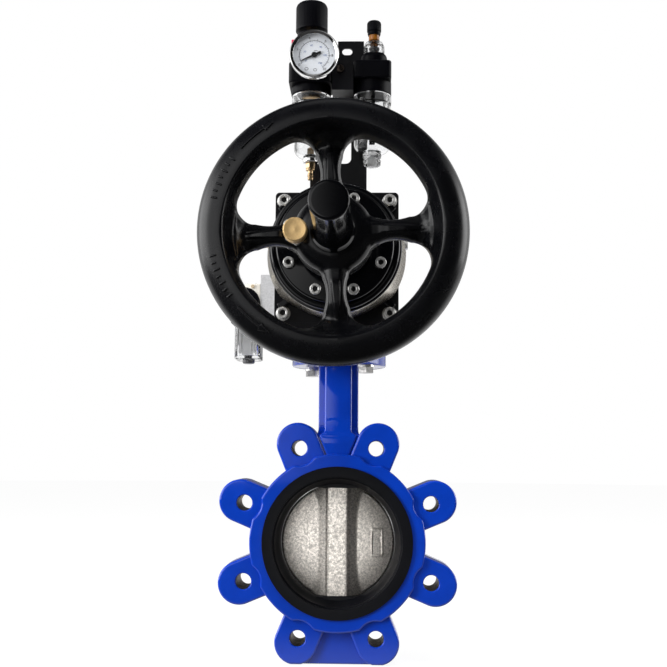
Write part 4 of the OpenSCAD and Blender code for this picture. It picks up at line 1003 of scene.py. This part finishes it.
# ---------------------------------------------------------------- small shapes


def lathe(name, profile, centre, finish_name, node, axis="up", covers=False, segments=96,
          ribs=None, sharp=40, base=0):
    """One turned piece from a profile of (r, z above base, corner radius)."""
    points, faces = turned(rounded(profile, base), centre, axis, segments, ribs)
    return add_piece(name, points, faces, finish_name, node, covers, sharp)


def socket_screw(head_r, head_h, socket_r, depth, shank_r, length, centre, back=False):
    """A cap screw along the pipe: plain shank, rounded head, and a socket whose radius follows
    a hexagon: r cos 30 / cos of the angle from the middle of the nearest side. Its rows are
    (radius, height, share of the hexagon)."""
    rows = [
        (0, -length, 0), (shank_r - 0.4, -length, 0), (shank_r, 0.5 - length, 0), (shank_r, 0, 0),
        (head_r - 0.2, 0, 0), (head_r, 0.25, 0), (head_r, head_h - 0.7, 0),
        (head_r - 0.15, head_h - 0.3, 0), (head_r - 0.5, head_h - 0.06, 0),
        (head_r - 0.8, head_h, 0), (socket_r + 0.3, head_h, 0.6), (socket_r, head_h - 0.3, 1),
        (socket_r, head_h - depth, 1), (0, head_h - depth - 0.8, 0),
    ]
    segments = 48
    angle = np.arange(segments) * TURN / segments
    side = (angle + TURN / 12) % (TURN / 6) - TURN / 12
    hexagon = math.cos(TURN / 12) / np.cos(side)
    radius, height, share = np.array(rows, float).T[:, :, None]
    r = radius * (1 + share * (hexagon - 1))
    points = np.stack([r * np.cos(angle), -height + 0 * r, r * np.sin(angle)], -1).reshape(-1, 3)
    if back:
        points = points * (-1, -1, 1)
    return points + np.asarray(centre, float), grid_faces(len(rows), segments, close_columns=True)


def strip(line, width, low, high, centre):
    """A thin raised line of even width on a face that looks forward, with closed ends."""
    line = np.asarray(line, float)
    ahead = np.gradient(line, axis=0)
    across = np.column_stack([-ahead[:, 1], ahead[:, 0]])
    across *= width / 2 / np.linalg.norm(across, axis=1, keepdims=True)
    rows = [np.column_stack([line + side * across, np.full(len(line), q)])
            for side, q in ((1, low), (1, high), (-1, high), (-1, low))]
    rows = np.stack(rows, 1).reshape(-1, 3)
    points = np.column_stack([rows[:, 0], -rows[:, 2], rows[:, 1]]) + np.asarray(centre, float)
    last = 4 * (len(line) - 1)
    ends = [[3, 2, 1, 0], [last, last + 1, last + 2, last + 3]]
    return points, np.vstack([grid_faces(len(line), 4, close_columns=True), ends])


def number_mesh(text, size, thickness):
    """Corner points (mm) and triangles of a plain number, centred, facing +Z."""
    curve = bpy.data.curves.new("number", "FONT")
    curve.body = text
    curve.size = size
    curve.align_x = "CENTER"
    curve.align_y = "CENTER"
    curve.extrude = thickness / 2
    carrier = bpy.data.objects.new("number", curve)
    mesh = carrier.to_mesh()
    mesh.calc_loop_triangles()
    points = np.array([v.co[:] for v in mesh.vertices])
    faces = np.array([t.vertices[:] for t in mesh.loop_triangles])
    carrier.to_mesh_clear()
    bpy.data.objects.remove(carrier)
    bpy.data.curves.remove(curve)
    return points, faces


def box_block(low, high, edge):
    """A block between two corners with rounded edges."""
    low, high = np.asarray(low, float), np.asarray(high, float)
    size, middle = high - low, (high + low) / 2
    outline = even(box_outline(size[0], size[1], edge * 1.2, 5), 6)
    return prism(outline, low[2], high[2], edge, "up", (middle[0], middle[1], 0))


def cup(outer, inner, bottom, floor, top, centre):
    """A thin-walled box that is open at the top, as one closed skin."""
    outer, inner = np.asarray(outer, float), np.asarray(inner, float)
    rows = [(inner * 0, floor), (inner * 0.5, floor), (inner * 0.97, floor),
            (inner, floor + 0.6), (inner, (floor + top) / 2), (inner, top - 0.3),
            (inner + (outer - inner) * 0.3, top), (inner + (outer - inner) * 0.7, top),
            (outer, top - 0.4), (outer, (floor + top) / 2), (outer, bottom + 1.2),
            (outer * 0.985, bottom + 0.4), (outer * 0.95, bottom), (outer * 0.5, bottom),
            (outer * 0, bottom)]
    return flat_rows(rows) + np.asarray(centre, float), grid_faces(
        len(rows), len(outer), close_columns=True)


# ---------------------------------------------------------------- gauge

def make_gauge():
    low, high = box_mm("gauge_case")
    centre = middle_mm("gauge_case")
    r = (high[0] - low[0]) / 2
    face = -low[1]
    lathe("gauge_bezel", [
        (0, -27), (6.8, -27), (6.8, -16, 0.5), (r - 3, -16, 1.6), (r - 3, -7, 0.4),
        (r - 0.3, -6.8, 0.6), (r, -5.6, 0.5), (r, -1.5, 0.7), (r - 0.7, 0, 0.5),
        (r - 1.2, -0.1, 0.3), (r - 3.4, -1.3, 0.3), (r - 3.4, -4.9), (r - 4.4, -5), (r - 4.4, -14),
        (0, -14)], centre, "mirror", "gauge_case", "forward", covers=True, segments=144, sharp=55,
        base=face)
    lathe("gauge_window", [
        (0, -2.9), (r - 3.5, -2.9), (r - 3.5, -1.7, 0.3), (0, -1.4)], centre, "glass",
        "gauge_glass", "forward", covers=True, base=face)
    dial = -box_mm("gauge_dial")[0][1]
    low_q, high_q = dial - 0.03, dial + 0.05
    black, blue = [], []
    start, sweep, arc_r = math.radians(214), -math.radians(270), 12.9

    def at(radius, share):
        angle = start + sweep * share
        return radius * math.cos(angle), radius * math.sin(angle)

    black.append(strip([at(arc_r, s) for s in np.linspace(0, 1, 91)], 0.34, low_q, high_q, centre))
    # each fifth mark is longer, and on the outer scale thicker
    for marks, count, root_r, main, minor in (
            (black, 50, arc_r, (1.5, 0.34), (0.75, 0.2)),
            (blue, 30, arc_r - 0.5, (-1.1, 0.22), (-0.6, 0.22))):
        for i in range(count + 1):
            length, width = minor if i % 5 else main
            marks.append(strip([at(root_r, i / count), at(root_r + length, i / count)], width,
                               low_q, high_q, centre))
    for x, z, size in ((-6.7, -12.4, 1.5), (0.8, -13.4, 1.4)):
        ring = [(x + size * math.cos(a), z + 0.8 * size * math.sin(a))
                for a in np.linspace(0, TURN, 25)]
        black.append(strip(ring, 0.35, low_q, high_q, centre))
    black.append(strip([(-0.2, 4.0), (2.6, 4.0)], 0.4, low_q, high_q, centre))
    add_grids("dial_scale", black, "needle", "gauge_dial")
    add_grids("dial_inner_scale", blue, "ink_blue", "gauge_dial")
    for name, labels, radius, size, ink in (
            ("dial_numbers", ("0", "2", "4", "6", "8", "10"), 15.7, 3.2, "needle"),
            ("dial_inner_numbers", ("0", "30", "60", "90", "120", "150"), 9.0, 2.4, "ink_blue")):
        grids = []
        for i, label in enumerate(labels):
            points, faces = number_mesh(label, size, 0.08)
            u, v = at(radius, i / (len(labels) - 1))
            place = np.column_stack([points[:, 0] + u, -(points[:, 2] + high_q), points[:, 1] + v])
            grids.append((place + centre, faces))
        add_grids(name, grids, ink, "gauge_dial")
    angle = math.radians(144)
    tab = prism(even(box_outline(5.0, 4.6, 0.8, 4), 1.2), face - 12, face - 7, 0.4, "forward",
                centre + (math.cos(angle) * 22.0, 0, math.sin(angle) * 22.0))
    add_piece("limit_marker", *tab, "red", "gauge_case")


# ---------------------------------------------------------------- air unit

AIR_Y = -44.0


def make_regulator():
    low, high = box_mm("regulator_knob")
    centre = (middle_mm("regulator_knob")[0], AIR_Y, 0)
    r = (high[0] - low[0]) / 2 + 0.7
    top, foot = high[2] - 1.0, low[2] + 2.4
    lathe("pressure_knob", [
        (0, foot), (r - 1.5, foot), (r, foot, 0.4), (r, foot + 1.8, 0.4),
        (r - 0.1, foot + 2.4, 0.3), (r - 0.1, top - 4.6), (r - 1.0, top - 1.8, 1.6),
        (r - 3.6, top - 0.2, 1.6), (0, top)], centre, "moulded", "regulator_knob", covers=True,
        segments=360, ribs=(60, 0.25, foot + 2.4, top - 3.2))
    low, high = box_mm("regulator_body")
    top = high[2]
    shoulder = top - 32
    outline = even(box_outline(39, 40, 5, 7), 5)
    grids = [prism(outline, shoulder - 19, shoulder, 1.2, "up", centre)]
    for profile in (
            [(0, -26.5), (17.4, -26.5, 0.4), (18, -25.5, 0.5), (18, -18), (0, -18)],
            [(0, -1), (13.9, -1), (13.9, 2.5, 0.6), (13.2, 3.4, 0.4), (13.2, 32, 0.6), (0, 32)]):
        grids.append(turned(rounded(profile, shoulder), centre))
    add_grids("regulator_housing", grids, "moulded", "regulator_body", covers=True)
    lathe("filter_insert", [
        (0, -62), (6.5, -62, 1), (8, -55, 1), (8, -34), (5, -33), (5, -27), (0, -27)], centre,
        "white_plastic", "regulator_body", base=shoulder)
    lathe("filter_ring", [
        (0, -32.5), (8.5, -32.5, 0.5), (9.5, -30, 0.8), (8.5, -27.2, 0.5), (0, -27.2)], centre,
        "brass", "regulator_body", base=shoulder)
    bottom = box_mm("filter_bowl")[0][2]
    clear_bowl("filter_glass", centre, 15, 17.2, bottom, shoulder - 26.6, "filter_bowl", 32)
    make_drain(centre, bottom)


def clear_bowl(name, centre, r, collar_r, bottom, top, node, rim_drop):
    """A clear bowl as one skin: round bottom, straight wall, wider collar near its rim."""
    wall, round_r = 2.2, 9.0
    turn = np.linspace(0, np.pi / 2, 12)
    outer = [(r - round_r + round_r * math.sin(a), bottom + round_r * (1 - math.cos(a)))
             for a in turn]
    inner = [(r - round_r + (round_r - wall) * math.sin(a),
              bottom + wall + (round_r - wall) * (1 - math.cos(a))) for a in turn]
    profile = [(0, bottom)] + outer + [
        (r, top - rim_drop), (r, top - 8.5, 0.4), (collar_r, top - 7.6, 0.5), (collar_r, top, 0.4),
        (r - wall, top), (r - wall, top - rim_drop)] + inner[::-1] + [(0, bottom + wall)]
    lathe(name, profile, centre, "clear", node, covers=True, segments=128)


def make_drain(centre, bottom):
    """Silver collar, brass hexagon, ring and barb under the filter bowl."""
    low = box_mm("drain_valve")[0][2]
    lathe("drain_collar", [
        (0, -4.2), (6.2, -4.2, 0.4), (6.9, -3.4, 0.4), (6.9, -0.4, 0.5), (6.0, 0.4, 0.4),
        (5.0, 3.2, 0.6), (0, 3.6)], centre, "mirror", "drain_valve", covers=True, segments=64,
        base=bottom)
    hexagon = np.array([(4.6 * math.cos(a), 4.6 * math.sin(a))
                        for a in np.arange(6) * TURN / 6 + 0.35])
    hex_part = prism(even(soften(hexagon, 0.5), 1.2), bottom - 9.5, bottom - 4.3, 0.5, "up", centre)
    stem = turned(rounded([
        (0, low), (2.2, low, 0.3), (2.6, low + 1.4, 0.3), (2.1, low + 3.2, 0.2),
        (2.9, low + 3.6, 0.3), (2.3, low + 6.2, 0.2), (2.3, bottom - 11.5, 0.2),
        (4.1, bottom - 11.3, 0.4), (4.1, bottom - 9.8, 0.4), (3.0, bottom - 9.4), (3, bottom + 9),
        (1.2, bottom + 10.5), (0, bottom + 10.5)]), centre, "up", 64)
    points, faces = join_grids([hex_part, stem])
    add_piece("drain_stem", points, faces, "brass", "drain_valve")


def make_lubricator():
    x = middle_mm("lubricator_body")[0]
    centre = (x, AIR_Y, 0)
    top = 428.0
    neck = box_mm("lubricator_body")[1][2]
    dome_low, dome_high = box_mm("sight_dome")
    sight = (middle_mm("sight_dome")[0], AIR_Y, 0)
    outline = even(box_outline(34, 40, 4, 7), 5)
    grids = [prism(outline, top - 16, top, 1.1, "up", centre)]
    grids.append(turned(rounded([
        (0, -27.5), (16.7, -27.5, 0.4), (17.3, -26.8, 0.4), (17.3, -15), (0, -15)], top), centre))
    grids.append(turned(rounded([
        (0, top - 1), (12.2, top - 1), (12.2, top + 2.4, 0.5), (11.9, top + 3, 0.3),
        (11.9, neck - 3.4, 1.0), (11.0, neck - 1.0, 1.2), (9.4, neck, 0.8), (0, neck)]), sight))
    grids.append(box_block((x + 12.6, AIR_Y + 8, top - 31), (x + 17, AIR_Y + 20, top - 15), 0.8))
    tube = turned(rounded([(0, -72), (2.6, -72, 0.5), (2.6, -27), (0, -27)], top),
                  centre, segments=32)
    grids.append(tube)
    add_grids("lubricator_housing", grids, "moulded", "lubricator_body", covers=True)
    bottom = box_mm("lubricator_bowl")[0][2]
    clear_bowl("lubricator_glass", centre, 16.5, 17.2, bottom + 11.5, top - 27.6,
               "lubricator_bowl", 30)
    lathe("bowl_plug", [
        (0, 0), (6.0, 0, 0.8), (7.6, 1.2, 0.6), (8.1, 5.4, 0.6), (6.9, 6.2, 0.4), (6.9, 7.4, 0.4),
        (8.3, 8.2, 0.6), (8.3, 11.4, 0.5), (6.5, 12.4), (0, 12.4)], centre, "clear",
        "lubricator_bowl", segments=72, base=bottom)
    lathe("bowl_plug_screw", [
        (0, -0.02), (3.2, -0.02, 0.4), (3.2, 4), (2, 9), (0, 9)], centre, "core_grey",
        "lubricator_bowl", segments=40, base=bottom)
    # sight dome, its drip tube and the amber needle collar
    z0, z1 = dome_low[2], dome_high[2]
    lathe("sight_glass", [
        (7.8, z0), (9.4, z0, 0.3), (9.4, z0 + 7.5, 1.2), (7.6, z1 - 1.6, 1.0), (5.2, z1, 0.4),
        (0, z1), (0, z1 - 1.6), (4.2, z1 - 1.8, 0.6), (7.6, z0 + 7, 1.0), (7.8, z0)], sight,
        "clear", "sight_dome", covers=True, segments=72)
    lathe("drip_seat", [
        (0, -0.4), (7.2, -0.4), (7.2, 0.8, 0.3), (4.6, 2.0, 0.6), (4.2, 4.6, 0.3), (5.0, 5.2, 0.3),
        (5.0, 6.4, 0.3), (2.6, 7.4), (0, 7.4)], sight, "drip_grey", "sight_dome", segments=48,
        base=z0)
    knob_low, knob_high = box_mm("lubricator_knob")
    lathe("needle_collar", [
        (0, z0 + 8), (1.9, z0 + 8, 0.2), (1.9, z1 - 4.6), (3.8, z1 - 4.0, 0.3),
        (4.4, z1 + 0.3, 0.4), (4.9, z1 + 0.8, 0.4), (4.9, knob_low[2] + 0.8),
        (0, knob_low[2] + 0.8)], sight, "amber", "lubricator_stem", covers=True, segments=60)
    k0, k1 = knob_low[2], knob_high[2]
    lathe("drip_knob", [
        (0, k0), (5.5, k0, 0.3), (5.9, k0 + 1.6, 0.3), (5.9, k0 + 3.2, 0.4), (6.5, k0 + 3.9, 0.4),
        (6.5, k1 - 2.2, 0.8), (5.6, k1 - 0.5, 0.8), (4.2, k1, 0.6), (0, k1)], sight, "moulded",
        "lubricator_knob", covers=True, segments=240, ribs=(30, 0.4, k0 + 4.2, k1 - 1.8))


# ---------------------------------------------------------------- override

def make_override():
    cap_face, drum_face = 107.0, 150.0
    axis_z = middle_mm("override_housing")[2]
    centre = (0, 0, axis_z)
    wall, wall_faces = turned(rounded([
        (50, cap_face + 0.2), (52.5, cap_face + 0.2), (52.6, cap_face + 3.4, 0.6),
        (57.4, cap_face + 4.2, 0.4), (52.9, drum_face - 3.6, 0.3), (52.6, drum_face - 2.6, 0.2),
        (50, drum_face - 2.6), (50, cap_face + 0.2)]), centre, "forward", 256)
    # the draft of the wall fades out towards the underside
    out = np.hypot(wall[:, 0], wall[:, 2] - axis_z)
    down = smooth((axis_z - wall[:, 2]) / out, 0.55, 0.9)
    share = 1 - down * (1 - np.minimum(out, 52.9) / out)
    wall[:, 0] *= share
    wall[:, 2] = axis_z + (wall[:, 2] - axis_z) * share
    add_piece("drum_wall", wall, wall_faces, "machined", "override_housing", covers=True)
    lathe("drum_front", [
        (0, cap_face + 1), (51, cap_face + 1), (51, drum_face - 3.0), (52.6, drum_face - 3.0, 0.3),
        (53.0, drum_face - 2.2, 0.6), (52.6, drum_face, 0.8), (0, drum_face)], centre, "gloss",
        "override_housing", "forward", segments=256)
    grids = []
    for angle in (42, 138, 222, 318):
        outline = rotated(even(box_outline(14, 6, 1.2, 4) + (56.5, 0), 2), math.radians(angle))
        grids.append(prism(outline, cap_face - 0.5, cap_face + 5, 1.0, "forward", centre))
    add_grids("drum_ribs", grids, "gloss", "override_housing")
    cover_face, boss_face = 162.0, 180.0
    # where a black disc goes in each screw's socket: painted shade for the deep socket
    sockets = []
    lathe("drum_cover", [
        (0, drum_face - 4), (30, drum_face - 4), (30, drum_face - 0.2), (50.8, drum_face - 0.2),
        (51.2, drum_face + 0.4, 0.3), (51.2, cover_face - 7.2, 0.8), (50.2, cover_face - 6, 0.8),
        (47.5, cover_face - 6, 0.3), (47.3, cover_face - 6.8, 0.2), (46.6, cover_face - 6.8, 0.3),
        (46.2, cover_face - 0.9, 0.9), (45.2, cover_face, 0.8), (23, cover_face, 2.2),
        (22, cover_face + 2.2, 0.8), (22, boss_face - 0.8, 0.6), (21.2, boss_face, 0.5),
        (0, boss_face)], centre, "gloss", "housing_cover", "forward", covers=True, segments=256)
    grids = []
    for i in range(LUG_COUNT):
        a = (i + 0.5) * TURN / LUG_COUNT
        place = (38.7 * math.cos(a), -cover_face, axis_z + 38.7 * math.sin(a))
        grids.append(socket_screw(4.4, 5, 2.3, 2.8, 2.5, 20, place))
        sockets.append((place[0], -cover_face - 2.2, place[2], 2.15))
    add_grids("cover_cap_screws", grids, "chrome", "cover_screws", covers=True)
    grids, rings = [], []
    for back in (False, True):
        for x in (-43.9, 43.9):
            for z in (-47.4, 47.4):
                y = (cap_face + 1.5) * (1 if back else -1)
                grids.append(socket_screw(4.9, 5.5, 2.6, 3.2, 3.0, 30, (x, y, axis_z + z), back))
                sockets.append((x, y + (1.95 if back else -2.3), axis_z + z, 2.4))
                washer, ring_faces = turned(
                    rounded([(3.2, 0), (5.6, 0), (6.1, 0.3, 0.2), (6.1, 1.3, 0.3), (5.7, 1.5),
                             (3.2, 1.5), (3.2, 0)]), (0, 0, 0), "forward", 64)
                washer = washer * (1, -1 if back else 1, 1)
                rings.append((washer + (x, (cap_face - 0.02) * (1 if back else -1), axis_z + z),
                              ring_faces))
    add_grids("end_cap_screws", grids, "chrome", "cap_screws", covers=True)
    # black discs at the bottom of the sockets: painted shade, standing in for the shade deep in
    # each socket
    shade_discs = []
    for x, y, z, r in sockets:
        points, faces = turned([(0, 0), (r, 0), (r, 0.35), (0, 0.35)], (0, 0, 0), "forward", 24)
        shade_discs.append((points + (x, y, z), faces))
    add_grids("socket_painted_shade", shade_discs, "needle", "cap_screws")
    add_grids("end_cap_washers", rings, "chrome", "cap_washers", covers=True)


def make_spindle_cover():
    low, high = box_mm("spindle_cap")
    centre = middle_mm("spindle_cap")
    foot, tip = -high[1], -low[1]
    r = 13.7
    lathe("spindle_cover", [
        (10.5, foot), (r + 3.0, foot), (r + 3.0, foot + 1.6, 0.8), (r + 1.9, foot + 3.4, 0.8),
        (r + 0.7, foot + 6, 1.8), (r, foot + 12, 2), (r, tip - 1.7, 1.0), (r - 0.5, tip - 0.4, 0.5),
        (r - 1.9, tip, 0.8), (0, tip), (0, tip - 6), (10.5, tip - 6), (10.5, foot)], centre,
        "gloss", "spindle_cap", "forward", covers=True, segments=144)
    centre = middle_mm("lock_plunger")
    front = -box_mm("lock_plunger")[0][1]
    lathe("plunger_knob", [
        (0, -44), (3, -44), (3, -14), (4.6, -13.6), (4.6, -10), (8.2, -10, 0.4), (9, -9, 0.5),
        (9, -0.9, 0.7), (8.2, 0, 0.5), (7.4, -0.1, 0.3), (4.0, -0.5, 1.5), (0.8, -0.35, 0.5),
        (0, -0.3)], centre, "turned_brass_face", "lock_plunger", "forward", covers=True,
        segments=128, sharp=30, base=front)
    points, faces = socket_screw(2.3, 2.0, 1.3, 1.4, 2.0, 12, (-24.8, -203.2, 229.6))
    add_piece("hub_set_screw", points, faces, "gloss", "handwheel")


# ---------------------------------------------------------------- solenoid valve

def make_solenoid():
    low, high = box_mm("solenoid_coil")
    axis_x, coil_z = -84.5, high[2] - 15
    front = -low[1]
    grids = [turned(rounded([
        (0, -30), (14, -30, 0.6), (15, -29, 0.6), (15, -1.6, 1.0), (13.4, 0, 1.0), (6.4, 0, 0.3),
        (6.2, -1, 0.2), (3.4, -1, 0.2), (3.2, 0, 0.2), (0, 0)], front), (axis_x, 0, coil_z),
        "forward", 96)]
    grids.append(box_block((axis_x - 11, -front + 0.3, low[2]),
                           (axis_x + 13, -front + 29.7, coil_z), 1.2))
    add_grids("coil_body", grids, "moulded", "solenoid_coil", covers=True)
    add_piece("pilot_head", *box_block((-83.7, -42.3, 206.8), (-69.2, -15.7, 229.2), 1.1), "cream",
              "solenoid_body")
    low, high = box_mm("plug_connector")
    centre = np.array([(low[0] + high[0]) / 2 + 1.9, (low[1] + high[1]) / 2, 0])
    width, depth = 23.0, high[1] - low[1]
    bottom = low[2] + 3.5
    outer = even(box_outline(width, depth, 3.2, 6), 3)
    inner = outer * ((width - 5) / width, (depth - 5) / depth)
    points, faces = cup(outer, inner, bottom, bottom + 3, high[2] - 0.2, centre)
    add_piece("plug_shell", points, faces, "clear", "plug_connector", covers=True)
    lathe("plug_gland", [
        (0, low[2]), (3.2, low[2]), (4.8, low[2] + 0.3, 0.4), (5.5, low[2] + 1.4, 0.4),
        (5.5, bottom + 0.8), (3.4, bottom + 2.5), (3.4, bottom + 9), (0, bottom + 9)], centre,
        "drip_grey", "plug_connector", segments=48)
    core = [box_block(centre + (x0, -10.5, bottom + z0), centre + (x1, 10.5, high[2] - 1.5), 0.6)
            for x0, x1, z0 in ((-8.6, -5.4, 5), (-4.9, 3.6, 3.6), (4.3, 6.2, 6), (6.9, 8.6, 4))]
    add_grids("plug_core", core, "core_grey", "plug_connector")
    contacts = []
    for x, z in ((-6.4, 17), (5.5, 15.5)):
        contacts.append(turned(rounded([(0, 0), (2.6, 0, 0.3), (2.6, 2, 0.4), (0, 2.2)]),
                               (centre[0] + x, centre[1] - 7.5, bottom + z), "forward", 32))
    add_grids("plug_contacts", contacts, "cream", "plug_connector")


# ---------------------------------------------------------------- small fillings

def make_bracket_corners():
    """Square fillings of the bracket's two upper corners, a hair inside its sheet."""
    high = box_mm("support_bracket")[1]
    corners = [box_block((left, high[1] - 2.98, high[2] - 4),
                         (left + 4, high[1] - 0.02, high[2] - 0.02), 0.3)
               for left in (-2.38, 17.88)]
    add_grids("bracket_corners", corners, "satin", "support_bracket")


def make_cap_lip():
    """A lip under the front end cap, where its outline steps back."""
    add_piece("cap_lip", *box_block((-50.5, -106.8, 180.5), (50.5, -84, 188), 0.9), "satin",
              "front_end_cap")


make_camera()
make_world()
make_floor()
area_lamp("left_panel", (-1.30, -0.62, 0.40), (0, -0.1, 0.10), 0.5, 1.3, 34)
area_lamp("right_panel", (1.30, -0.55, 0.45), (0, -0.1, 0.15), 0.5, 1.5, 5)
area_lamp("top_panel", (0.0, -0.2, 1.45), (0, 0, 0.1), 1.4, 1.0, 14)
# narrow, so that it only reaches the disc inside the valve
add_lamp("disc_spot", "SPOT", (-0.10, -1.0, -0.075), (0, -0.01, 0), 5.4,
         spot_size=math.radians(6.2), spot_blend=0.4, shadow_soft_size=0.025)
area_lamp("front_fill", (0.3, -1.5, 2.1), (0, 0, 0.1), 0.9, 0.9, 24)
for name in nodes:
    dress_node(name)
make_handwheel()
make_valve_body()
make_disc()
make_gauge()
make_regulator()
make_bracket_corners()
make_cap_lip()
make_lubricator()
make_override()
make_spindle_cover()
make_solenoid()
